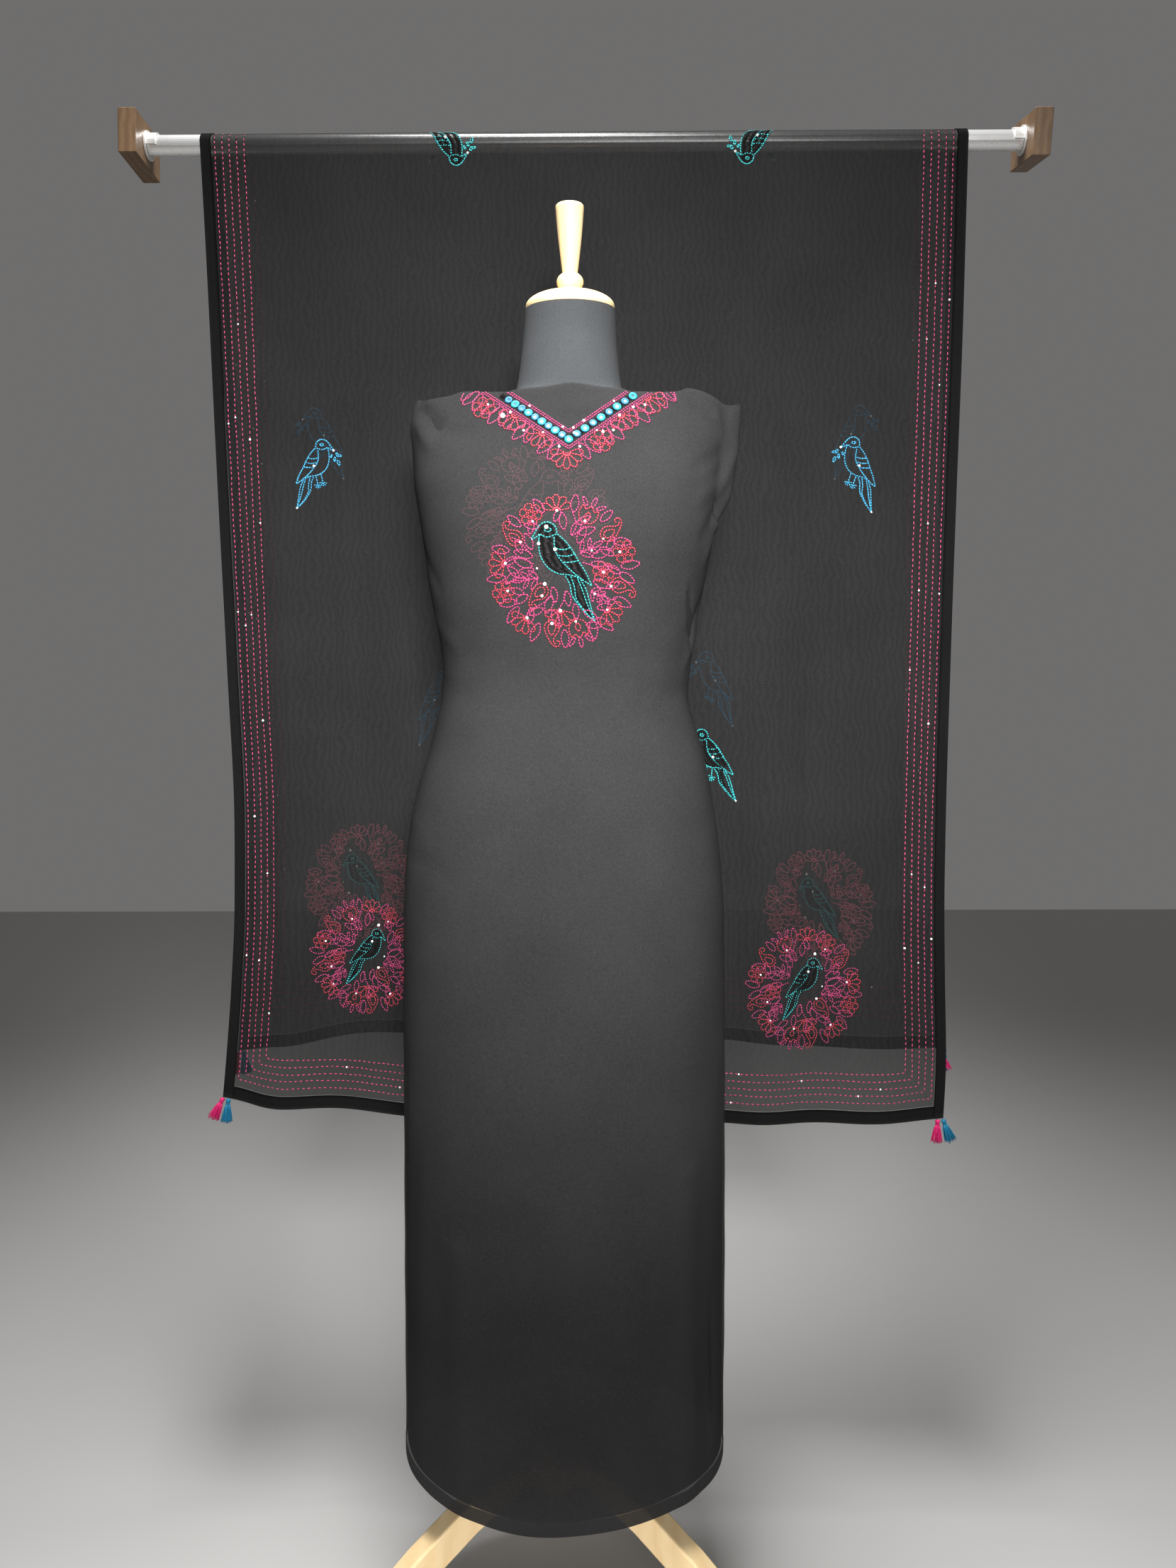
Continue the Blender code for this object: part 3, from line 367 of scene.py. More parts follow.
finishes = {
    "kameezCloth": georgette("kameezCloth", (0.009, 0.0088, 0.009), (0.042, 0.041, 0.0412), 0.81),
    "kameezHem": georgette("kameezHem", (0.008, 0.0078, 0.008), (0.036, 0.035, 0.0355),
                           0.975, 0.04),
    "kameezUnderCloth": georgette("kameezUnderCloth", (0.007, 0.0066, 0.007),
                                  (0.026, 0.025, 0.0255), 0.97, 0.05),
    # the dupatta's last number, 0.15, is the strength of its painted vertical streaks of light and shade
    "dupattaCloth": georgette("dupattaCloth", (0.004, 0.0038, 0.004), (0.0215, 0.0207, 0.0209),
                              0.77, 0.16, 0.15),
    "edgingCloth": georgette("edgingCloth", (0.003, 0.003, 0.0032), (0.009, 0.009, 0.0092),
                             0.97, 0.04),
    "pinkThread": thread("pinkThread", (0.34, 0.046, 0.128), (0.15, 0.014, 0.052)),
    "coralThread": thread("coralThread", (0.35, 0.040, 0.060), (0.16, 0.012, 0.022)),
    "tealThread": thread("tealThread", (0.040, 0.32, 0.31), (0.012, 0.12, 0.13)),
    "brightTealThread": thread("brightTealThread", (0.045, 0.46, 0.46), (0.015, 0.19, 0.21)),
    "blueThread": thread("blueThread", (0.055, 0.32, 0.50), (0.016, 0.13, 0.24)),
    "turquoiseThread": thread("turquoiseThread", (0.018, 0.29, 0.37), (0.004, 0.12, 0.17)),
    "steelBlueThread": thread("steelBlueThread", (0.030, 0.16, 0.27), (0.008, 0.06, 0.12)),
    "lineThread": thread("lineThread", (0.50, 0.065, 0.150), (0.24, 0.022, 0.065)),
    # the reverse thread is brighter than the front threads: painted light, standing in for the light
    # that comes through the cloth onto the reversed stitches
    "reverseThreadPaintedLight": thread("reverseThreadPaintedLight", (0.88, 0.26, 0.34), (0.50, 0.12, 0.17), 0.6),
    "pinkTassel": thread("pinkTassel", (0.58, 0.015, 0.13), (0.24, 0.005, 0.05)),
    "tealTassel": thread("tealTassel", (0.010, 0.16, 0.28), (0.003, 0.05, 0.11)),
    "bead": newMaterial("bead", "handling",
                        {"Metal Colour": (0.88, 0.85, 0.82, 1), "Dull Colour": (0.70, 0.66, 0.62, 1),
                         "Clean": 0.10, "Smudge": 0.15},
                        {"Metallic": 0.0, "Coat Weight": 0.6}, (0.1, 0.0002)),
    "mirror": newMaterial("mirror", "handling",
                          {"Metal Colour": (0.34, 0.60, 0.68, 1), "Dull Colour": (0.22, 0.44, 0.52, 1),
                           "Clean": 0.06, "Smudge": 0.12}, {"Metallic": 0.9}, (0.1, 0.0002)),
    "jersey": newMaterial("jersey", "melange",
                          {"Dark Fibre": (0.028, 0.029, 0.031, 1),
                           "Light Fibre": (0.074, 0.078, 0.081, 1)},
                          {"Roughness": 0.93, "Specular IOR Level": 0.06}, (0.3, 0.0006)),
    "birch": newMaterial("birch", "wood",
                         {"Light Wood": (0.92, 0.71, 0.41, 1), "Dark Wood": (0.80, 0.55, 0.26, 1)},
                         {"Coat Weight": 0.25, "Coat Roughness": 0.3}, (0.2, 0.0003)),
    "oak": newMaterial("oak", "wood",
                       {"Light Wood": (0.24, 0.145, 0.075, 1), "Dark Wood": (0.085, 0.045, 0.022, 1),
                        "Band Scale": 30.0}, {"Coat Weight": 0.1}, (0.4, 0.0004)),
    "steel": newMaterial("steel", "handling",
                         {"Metal Colour": (0.90, 0.90, 0.89, 1), "Dull Colour": (0.74, 0.74, 0.73, 1),
                          "Clean": 0.20, "Smudge": 0.16}, {"Metallic": 0.64}, (0.1, 0.0002)),
    "zinc": newMaterial("zinc", "handling",
                        {"Metal Colour": (0.82, 0.82, 0.80, 1), "Dull Colour": (0.66, 0.66, 0.64, 1),
                         "Clean": 0.30, "Smudge": 0.20}, {"Metallic": 0.5}, (0.15, 0.0003)),
}
print("materials made:", len(finishes))

# the outline the kameez is worn to

# columns: height, left, right, front, back from the form's axis, squareness (2 is an ellipse)
wornOutline = (
    (1.4100, 0.1600, 0.1800, 0.0640, 0.0610, 2.5), (1.3960, 0.1662, 0.1820, 0.0680, 0.0665, 2.5),
    (1.3780, 0.1732, 0.1815, 0.0755, 0.0740, 2.5), (1.3480, 0.1764, 0.1790, 0.0890, 0.0860, 2.5),
    (1.2990, 0.1738, 0.1728, 0.1100, 0.0985, 2.5), (1.2620, 0.1682, 0.1675, 0.1215, 0.1030, 2.4),
    (1.2250, 0.1622, 0.1633, 0.1265, 0.1040, 2.4), (1.1690, 0.1537, 0.1533, 0.1210, 0.0990, 2.3),
    (1.1220, 0.1434, 0.1455, 0.1110, 0.0935, 2.3), (1.0920, 0.1398, 0.1419, 0.1045, 0.0905, 2.2),
    (1.0600, 0.1407, 0.1395, 0.1005, 0.0890, 2.2), (1.0330, 0.1465, 0.1455, 0.1025, 0.0920, 2.2),
    (1.0010, 0.1533, 0.1562, 0.1080, 0.0985, 2.2), (0.9640, 0.1646, 0.1649, 0.1160, 0.1090, 2.2),
    (0.9350, 0.1717, 0.1696, 0.1215, 0.1175, 2.2), (0.8770, 0.1794, 0.1784, 0.1290, 0.1300, 2.2),
    (0.8140, 0.1819, 0.1832, 0.1330, 0.1350, 2.2), (0.6360, 0.1837, 0.1840, 0.1350, 0.1350, 2.2),
    (0.2290, 0.1841, 0.1829, 0.1395, 0.1390, 2.1), (0.1600, 0.1837, 0.1817, 0.1405, 0.1400, 2.1),
)

# columns: share of the way round from the middle front, height
foldedEdge = (
    (-0.550, 1.3830), (-0.350, 1.3850), (-0.262, 1.3872), (-0.222, 1.3906), (-0.190, 1.3836),
    (-0.158, 1.3832), (-0.134, 1.3868), (-0.098, 1.3842), (-0.076, 1.3836), (-0.066, 1.3860),
    (-0.030, 1.3890), (0.004, 1.3936), (0.042, 1.3888), (0.068, 1.3866), (0.080, 1.3832),
    (0.134, 1.3849), (0.157, 1.3908), (0.176, 1.3888), (0.198, 1.3830), (0.214, 1.3786),
    (0.238, 1.3850), (0.252, 1.3869), (0.285, 1.3840), (0.380, 1.3835), (0.550, 1.3830),
)
hemEdge = (
    (-0.550, 0.2010), (-0.330, 0.2060), (-0.250, 0.2030), (-0.180, 0.1900), (-0.100, 0.1785),
    (-0.030, 0.1715), (0.060, 0.1765), (0.130, 0.1830), (0.220, 0.1900), (0.300, 0.1980),
    (0.550, 0.2010),
)

# columns: share of the way round, top, bottom, half width, height
largestFolds = (
    (0.236, 1.420, 1.250, 0.030, 0.0145), (-0.225, 1.420, 1.334, 0.026, 0.0035),
    (0.300, 1.180, 1.045, 0.026, 0.0040), (-0.300, 1.160, 1.030, 0.026, 0.0035),
    (0.140, 0.560, 0.170, 0.026, 0.0030), (-0.110, 0.480, 0.170, 0.030, 0.0030),
    (0.290, 0.620, 0.170, 0.030, 0.0040), (-0.310, 0.600, 0.170, 0.032, 0.0045),
    (0.390, 0.700, 0.170, 0.030, 0.0050),
)

wornForm = {"axisX": -0.0345, "axisY": -0.06687, "lean": 0.0152, "leanFrom": 0.216,
            "plumbBelow": 0.840, "lowest": 0.150, "highest": 1.416, "ringStep": 0.002}


def axisAt(height):
    return wornForm["axisX"] + wornForm["lean"] * (height - wornForm["leanFrom"])


def ovalRadius(angle, left, right, front, back, power):
    across, ahead = np.sin(angle), np.cos(angle)
    wide = np.where(across > 0, right, left)
    deep = np.where(ahead > 0, front, back)
    total = np.abs(across / wide) ** power + np.abs(ahead / deep) ** power
    return total ** (-1.0 / power)


class WornSurface:
    # level rings of the worn outline, read at a share of the way round and a height
    def __init__(self, shares):
        self.levels = np.arange(wornForm["lowest"], wornForm["highest"], wornForm["ringStep"])
        angles = np.linspace(-1.6 * math.pi, 1.6 * math.pi, 1201)
        sizes = [smoothTable(wornOutline, self.levels, column) for column in range(1, 6)]
        self.table = np.zeros((4, len(self.levels), len(shares)))
        self.girth = np.zeros(len(self.levels))
        for k in range(len(self.levels)):
            radius = ovalRadius(angles, *[size[k] for size in sizes])
            x, y = radius * np.sin(angles), -radius * np.cos(angles)
            run = np.concatenate(((0.0,), np.cumsum(np.hypot(np.diff(x), np.diff(y)))))
            run -= run[600]
            girth = 2 * float(np.interp(math.pi, angles, run))
            outX, outY = np.gradient(y), -np.gradient(x)
            length = np.hypot(outX, outY)
            for row, line in enumerate((x, y, outX / length, outY / length)):
                self.table[row, k] = np.interp(shares * girth, run, line)
            self.girth[k] = girth

    def place(self, heights, out):
        # heights and out are rows by columns
        at = np.clip((heights - self.levels[0]) / wornForm["ringStep"], 0, len(self.levels) - 1.001)
        low = at.astype(int)
        part = at - low
        column = np.arange(heights.shape[1])[None, :]
        x, y, outX, outY = (self.table[row, low, column] * (1 - part)
                            + self.table[row, low + 1, column] * part for row in range(4))
        middle = axisAt(np.maximum(heights, wornForm["plumbBelow"]))
        return np.stack((middle + x + outX * out, wornForm["axisY"] + y + outY * out, heights), -1)


# the kameez length

kameez = {"columns": 265, "rows": 176, "edgeShare": 0.55, "skin": -0.0003, "hemTurn": 0.0115,
          "hemThick": 0.0006, "overlapLift": 0.0030, "overlapRamp": 0.025, "past": 0.42,
          "hemPast": 0.004, "backShare": 0.35, "backCount": 121, "backInward": 0.0020,
          "backRise": 0.014, "backDrop": 0.0008}

# soft creases in share of the way round times one metre, and height: x0, z0, x1, z1, half width,
# height (troughs are below nought)
kameezCreases = (
    (0.232, 1.345, 0.205, 1.262, 0.008, 0.0035), (0.215, 1.330, 0.150, 1.296, 0.008, -0.0018),
    (0.228, 1.300, 0.160, 1.262, 0.009, 0.0020), (0.232, 1.275, 0.172, 1.216, 0.009, -0.0020),
    (0.236, 1.262, 0.196, 1.196, 0.010, 0.0022), (-0.205, 1.378, -0.150, 1.345, 0.009, -0.0024),
    (-0.215, 1.366, -0.165, 1.322, 0.010, 0.0020), (-0.190, 1.350, -0.100, 1.330, 0.012, -0.0014),
    (0.150, 1.372, 0.205, 1.340, 0.009, -0.0018), (0.186, 1.368, 0.226, 1.330, 0.009, 0.0020),
    (-0.020, 1.352, 0.040, 1.350, 0.007, -0.0009), (-0.028, 1.362, 0.050, 1.366, 0.008, 0.0009),
    (-0.235, 1.230, -0.170, 1.165, 0.012, -0.0016), (-0.240, 1.150, -0.150, 1.105, 0.012, 0.0014),
    (0.240, 1.170, 0.180, 1.120, 0.010, -0.0024), (0.246, 1.140, 0.190, 1.085, 0.010, 0.0020),
    (-0.070, 1.083, 0.060, 1.079, 0.006, -0.0008), (-0.105, 1.062, 0.050, 1.060, 0.007, 0.0007),
    (-0.240, 1.080, -0.120, 1.050, 0.014, -0.0012), (0.235, 1.072, 0.130, 1.046, 0.013, -0.0012),
    (-0.215, 0.882, -0.120, 0.868, 0.008, -0.0013), (-0.230, 0.930, -0.150, 0.900, 0.014, 0.0010),
    (0.225, 0.930, 0.140, 0.905, 0.014, -0.0009), (0.180, 0.410, 0.186, 0.235, 0.006, -0.0022),
    (0.148, 0.335, 0.150, 0.215, 0.006, 0.0016), (0.170, 0.300, 0.176, 0.200, 0.006, -0.0016),
    (0.095, 0.480, 0.100, 0.240, 0.016, -0.0012), (-0.160, 0.600, -0.170, 0.210, 0.018, 0.0014),
    (-0.060, 0.420, -0.050, 0.200, 0.018, -0.0012), (0.020, 0.520, 0.030, 0.200, 0.020, 0.0010),
    (-0.205, 0.700, -0.215, 0.230, 0.016, -0.0016), (0.215, 0.760, 0.222, 0.220, 0.016, 0.0014),
    (0.300, 1.330, 0.330, 1.240, 0.012, -0.0022), (0.340, 1.350, 0.360, 1.240, 0.012, 0.0022),
    (-0.300, 1.330, -0.330, 1.220, 0.012, -0.0020), (-0.345, 1.350, -0.370, 1.230, 0.013, 0.0018),
    (0.420, 1.300, 0.445, 1.120, 0.012, 0.0024), (-0.410, 1.290, -0.430, 1.130, 0.012, -0.0018),
    (0.445, 1.180, 0.360, 1.110, 0.010, -0.0018), (0.445, 1.080, 0.350, 1.060, 0.012, 0.0016),
    (-0.440, 1.090, -0.340, 1.050, 0.012, -0.0016), (0.440, 0.930, 0.340, 0.880, 0.016, -0.0014),
    (0.330, 0.800, 0.340, 0.240, 0.018, -0.0020), (0.440, 0.900, 0.445, 0.230, 0.014, 0.0022),
    (-0.350, 0.820, -0.360, 0.230, 0.018, 0.0018), (-0.425, 0.700, -0.430, 0.220, 0.016, -0.0018),
    (0.270, 0.560, 0.280, 0.220, 0.014, 0.0014), (-0.265, 0.520, -0.270, 0.220, 0.015, -0.0014),
    (0.204, 1.276, 0.232, 1.252, 0.0045, -0.0046), (0.208, 1.255, 0.234, 1.240, 0.0050, 0.0036),
    (0.170, 1.172, 0.214, 1.112, 0.0100, -0.0042), (0.160, 1.180, 0.206, 1.108, 0.0080, 0.0022),
    (-0.150, 0.858, -0.062, 0.860, 0.0040, -0.0009), (0.090, 0.455, 0.090, 0.345, 0.0040, -0.0012),
    (0.056, 0.348, 0.056, 0.312, 0.0035, -0.0010), (0.081, 0.336, 0.081, 0.298, 0.0035, 0.0010),
)


def foldHeights(shares, heights):
    total = np.zeros(heights.shape)
    for centre, top, bottom, half, rise in largestFolds:
        across = ease(1 - np.abs(shares - centre) / half)
        ends = ease((top - heights) / 0.02) * ease((heights - bottom) / 0.045 + 0.25)
        total = total + rise * across * ends
    return total


def kameezGrid(shares, rows, inward=0.0, rise=0.0, drop=0.0):
    # rows lie closer together at the top edge and at the hem
    surface = WornSurface(shares)
    top = smoothTable(foldedEdge, shares, 1) - drop
    hem = smoothTable(hemEdge, shares, 1) + rise
    even = np.linspace(0, 1, rows)
    down = (even - 0.045 * np.sin(2 * math.pi * even) / (2 * math.pi) * 6)[:, None]
    heights = top[None, :] * (1 - down) + hem[None, :] * down
    wide = np.broadcast_to(shares[None, :], heights.shape)
    out = np.full(heights.shape, kameez["skin"] - inward)
    out += kameez["overlapLift"] * ease((wide - kameez["past"] + kameez["overlapRamp"])
                                        / kameez["overlapRamp"])
    if inward == 0.0:
        out += foldHeights(wide, heights) + creaseHeights(wide, heights, kameezCreases)
        wrinkle = np.sin(wide * 61 + heights * 23) * np.sin(wide * 37 - heights * 41 + 1.3)
        out += 0.00035 * wrinkle
        above = heights - hem[None, :]
        out += kameez["hemThick"] * ease((kameez["hemTurn"] + 0.0012 - above) / 0.0012)
    return surface.place(heights, out)


def makeKameez():
    edge = kameez["edgeShare"]
    shares = np.linspace(-edge, edge, kameez["columns"])
    grid = kameezGrid(shares, kameez["rows"])
    faces = gridFaces(kameez["rows"], kameez["columns"])
    # the turned hem is two layers thick, so it is less sheer
    above = (grid[:-1, :-1, 2] + grid[1:, 1:, 2]) / 2 - smoothTable(hemEdge, shares, 1)[None, :-1]
    turned = (above < kameez["hemTurn"] + kameez["hemPast"]).astype(int).reshape(-1)
    outer = addPiece("kameezFront", grid.reshape(-1, 3), faces,
                     [finishes["kameezCloth"], finishes["kameezHem"]], turned)
    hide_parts("kameez_front")

    count = kameez["backCount"]
    shares = np.linspace(-kameez["backShare"], kameez["backShare"], count)
    grid = kameezGrid(shares, count, kameez["backInward"], kameez["backRise"], kameez["backDrop"])
    faces = gridFaces(count, count)
    under = addPiece("kameezBack", grid.reshape(-1, 3), faces, [finishes["kameezUnderCloth"]])
    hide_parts("kameez_back")
    return outer, under


kameezFront, kameezBack = makeKameez()
print("kameez made:", len(kameezFront.data.polygons), "faces")

# the dupatta

dupatta = {"wide": 0.980, "edging": 0.0140, "endEdging": 0.0165, "rodY": 0.11913,
           "rodHeight": 1.7736, "rodRadius": 0.0126, "seam": 0.0003, "waveCount": 6,
           "waveDeep": 0.0105, "waveOut": 0.0050, "rearLeftIn": 0.0040, "rearRightIn": 0.0020,
           "rearRightOut": 0.0110, "columns": 181, "frontRows": 160, "turnRows": 12,
           "rearRows": 148, "waveBelow": 0.05, "waveGrow": 0.75, "waveHeld": 0.09}

# columns: height, left edge, right edge
dupattaSides = (
    (1.7740, -0.4893, 0.4868), (1.6600, -0.4838, 0.4838), (1.5500, -0.4790, 0.4808),
    (1.3100, -0.4694, 0.4722), (1.1000, -0.4610, 0.4660), (0.9050, -0.4540, 0.4612),
    (0.8000, -0.4550, 0.4600), (0.7000, -0.4600, 0.4612), (0.6000, -0.4680, 0.4632),
    (0.5000, -0.4780, 0.4590),
)

# columns: share of the width from the left, front end height, rear end height
dupattaEnds = (
    (0.00, 0.5480, 0.5990), (0.06, 0.5370, 0.6060), (0.20, 0.5290, 0.6230), (0.35, 0.5210, 0.6270),
    (0.50, 0.5160, 0.6220), (0.70, 0.5130, 0.6120), (0.87, 0.5130, 0.6020), (1.00, 0.5200, 0.6030),
)

# soft hanging creases: share of the width times one metre, and height: x0, z0, x1, z1, half
# width, height
dupattaCreases = (
    (0.10, 1.70, 0.13, 1.10, 0.012, 0.0016), (0.17, 1.55, 0.16, 0.80, 0.014, -0.0020),
    (0.24, 1.66, 0.22, 1.20, 0.010, 0.0012), (0.26, 1.20, 0.29, 0.62, 0.013, 0.0022),
    (0.36, 1.50, 0.35, 0.70, 0.016, -0.0018), (0.44, 1.40, 0.47, 0.60, 0.014, 0.0016),
    (0.55, 1.45, 0.56, 0.62, 0.016, -0.0016), (0.64, 1.66, 0.66, 1.05, 0.012, 0.0018),
    (0.70, 1.30, 0.69, 0.58, 0.012, -0.0024), (0.76, 1.62, 0.78, 1.15, 0.010, 0.0014),
    (0.81, 1.15, 0.80, 0.60, 0.013, 0.0024), (0.88, 1.58, 0.90, 0.90, 0.013, -0.0016),
    (0.30, 1.762, 0.28, 1.60, 0.010, -0.0012), (0.68, 1.762, 0.70, 1.58, 0.010, -0.0012),
    (0.05, 0.86, 0.07, 0.57, 0.012, 0.0024), (0.93, 1.10, 0.95, 0.56, 0.012, 0.0022),
    (0.40, 1.10, 0.41, 0.60, 0.010, 0.0014), (0.605, 0.95, 0.62, 0.60, 0.012, 0.0018),
)


def dupattaWave(share, height):
    grow = ease((dupatta["rodHeight"] - dupatta["waveBelow"] - height) / dupatta["waveGrow"])
    drift = 0.30 * np.sin(2 * math.pi * share * 1.4 + 0.6)
    phase = 2 * math.pi * (dupatta["waveCount"] * share + drift)
    uneven = 0.75 + 0.25 * np.sin(5.3 * share + 1.1)
    held = 0.30 + 0.70 * ease(np.minimum(share, 1 - share) / dupatta["waveHeld"])
    return grow * dupatta["waveDeep"] * uneven * held * np.sin(phase)


def dupattaFall(share, height, end, out):
    left = smoothTable(dupattaSides, height, 1)
    right = smoothTable(dupattaSides, height, 2)
    side = -1.0
    if end == "rear":
        left = left + dupatta["rearLeftIn"]
        right = right + (dupatta["rearRightOut"] * ease((dupatta["rodHeight"] - height) / 1.1)
                         - dupatta["rearRightIn"])
        side = 1.0
    grow = ease((dupatta["rodHeight"] - height) / 0.5)
    off = dupatta["rodRadius"] + dupatta["seam"] + dupatta["waveOut"] * grow
    mirrored = share if end == "front" else 1 - share
    crease = creaseHeights(mirrored, height, dupattaCreases) * grow
    y = dupatta["rodY"] + side * (off + out) + dupattaWave(share, height) + crease
    return np.stack((left + (right - left) * share, y, height), -1)


def dupattaTurn(share, angle, out):
    left = float(smoothTable(dupattaSides, dupatta["rodHeight"], 1))
    right = float(smoothTable(dupattaSides, dupatta["rodHeight"], 2))
    part = ease(angle / math.pi)
    left = left + dupatta["rearLeftIn"] * part
    right = right - dupatta["rearRightIn"] * part
    radius = dupatta["rodRadius"] + dupatta["seam"] + out
    return np.stack((left + (right - left) * share, dupatta["rodY"] - radius * np.cos(angle),
                     dupatta["rodHeight"] + radius * np.sin(angle)), -1)


def endHeight(share, end):
    return smoothTable(dupattaEnds, share, 1 if end == "front" else 2)


def dupattaGrid(shares, out=0.0004, toEnds=False, rows=None):
    # rows from the front end up, over the rod, and down to the rear end
    frontRows, turnRows, rearRows = rows or (dupatta["frontRows"], dupatta["turnRows"],
                                             dupatta["rearRows"])
    stretches = []
    short = 0.0 if toEnds else dupatta["endEdging"] + 0.0006
    for end, count in (("front", frontRows), ("rear", rearRows)):
        low = endHeight(shares, end) + short
        part = np.linspace(0, 1, count)[:, None]
        height = low[None, :] + (dupatta["rodHeight"] - low[None, :]) * part
        wide = np.broadcast_to(shares[None, :], height.shape)
        fall = dupattaFall(wide, height, end, out)
        stretches.append(fall if end == "front" else fall[::-1])
    angle = np.linspace(0, math.pi, turnRows + 2)[1:-1, None]
    turn = dupattaTurn(np.broadcast_to(shares[None, :], (turnRows, len(shares))),
                       np.broadcast_to(angle, (turnRows, len(shares))), out)
    return np.concatenate((stretches[0], turn, stretches[1]))


class FlatCloth:
    # the cloth as it lay flat: across from the middle and along from the front end, in metres
    def __init__(self, grid, shares, wide):
        self.grid = grid
        self.across = (shares - 0.5) * wide
        middle = grid[:, grid.shape[1] // 2]
        step = np.linalg.norm(np.diff(middle, axis=0), axis=1)
        self.along = np.concatenate(((0.0,), np.cumsum(step))) + dupatta["endEdging"]


def stripShell(name, inner, outer, material):
    # a thin closed band between two grids of points, with its rims
    rows, columns = inner.shape[:2]
    verts = np.concatenate((inner.reshape(-1, 3), outer.reshape(-1, 3)))
    count = rows * columns
    faces = gridFaces(rows, columns, flip=True)
    faces += [tuple(index + count for index in face) for face in gridFaces(rows, columns)]
    rim = list(range(columns))
    rim += [r * columns + columns - 1 for r in range(1, rows)]
    rim += [(rows - 1) * columns + c for c in range(columns - 2, -1, -1)]
    rim += [r * columns for r in range(rows - 2, 0, -1)]
    for a, b in zip(rim, rim[1:] + rim[:1]):
        faces.append((a, b, b + count, a + count))
    return addPiece(name, verts, faces, [material])


edgingBand = {"thick": 0.0012, "underside": 0.0001, "columns": 5, "seam": 0.0003}


def makeDupatta():
    edge = dupatta["edging"] / dupatta["wide"]
    seam = edgingBand["seam"] / dupatta["wide"]
    shares = np.linspace(edge + seam, 1 - edge - seam, dupatta["columns"])
    grid = dupattaGrid(shares)
    rows = len(grid)
    cloth = addPiece("dupatta", grid.reshape(-1, 3),
                     gridFaces(rows, dupatta["columns"], flip=True), [finishes["dupattaCloth"]])
    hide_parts("dupatta_front", "dupatta_over_rod", "dupatta_rear")

    bands = []
    low, high = edgingBand["underside"], edgingBand["underside"] + edgingBand["thick"]
    for side, first, last in (("left", 0.0, edge), ("right", 1 - edge, 1.0)):
        across = np.linspace(first, last, edgingBand["columns"])
        band = stripShell("dupattaEdging" + side.capitalize(), dupattaGrid(across, low, True),
                          dupattaGrid(across, high, True), finishes["edgingCloth"])
        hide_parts("dupatta_edge_" + side)
        bands.append(band)
    for end in ("front", "rear"):
        part = np.linspace(0, 1, edgingBand["columns"])[:, None]
        height = endHeight(shares, end)[None, :] + dupatta["endEdging"] * part
        wide = np.broadcast_to(shares[None, :], height.shape)
        faces = [dupattaFall(wide, height, end, out) for out in (low, high)]
        if end == "rear":
            faces = [face[::-1] for face in faces]
        band = stripShell("dupattaEdging" + end.capitalize() + "End", faces[0], faces[1],
                          finishes["edgingCloth"])
        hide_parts("dupatta_end_" + end)
        bands.append(band)
    return cloth, bands, FlatCloth(grid, shares, dupatta["wide"])


dupattaSheet, edgingBands, flatDupatta = makeDupatta()
print("dupatta made:", len(dupattaSheet.data.polygons), "faces")

# the dress form

# columns: height, half width, front, back, squareness
formShoulders = (
    (1.330, 0.1650, 0.0880, 0.0860, 2.4), (1.348, 0.1620, 0.0790, 0.0775, 2.4),
    (1.360, 0.1530, 0.0710, 0.0705, 2.3), (1.370, 0.1380, 0.0650, 0.0650, 2.2),
    (1.378, 0.1170, 0.0610, 0.0620, 2.1), (1.385, 0.0930, 0.0592, 0.0602, 2.0),
    (1.391, 0.0720, 0.0582, 0.0592, 2.0), (1.400, 0.0612, 0.0572, 0.0580, 2.0),
    (1.440, 0.0550, 0.0545, 0.0545, 2.0), (1.468, 0.0525, 0.0520, 0.0520, 2.0),
    (1.4945, 0.0510, 0.0510, 0.0510, 2.0),
)

dressForm = {"low": 0.720, "top": 1.4945, "clear": 0.0068, "sides": 112, "neckTilt": 6.0,
             "capRadius": 0.0503, "capRim": 0.0035, "capDome": 0.0175, "capFlat": 0.0120,
             "ballRadius": 0.0152, "ballHigh": 0.0205, "postFoot": 0.0088, "postTop": 0.0160,
             "postLong": 0.0725, "turnSteps": 72}


def formRing(height, half, front, back, power, tilt):
    angles = np.linspace(0, 2 * math.pi, dressForm["sides"], endpoint=False)
    radius = ovalRadius(angles, half, half, front, back, power)
    x, y = radius * np.sin(angles), -radius * np.cos(angles)
    return np.stack((axisAt(height) + x, wornForm["axisY"] + y, height + y * math.tan(tilt)), -1)


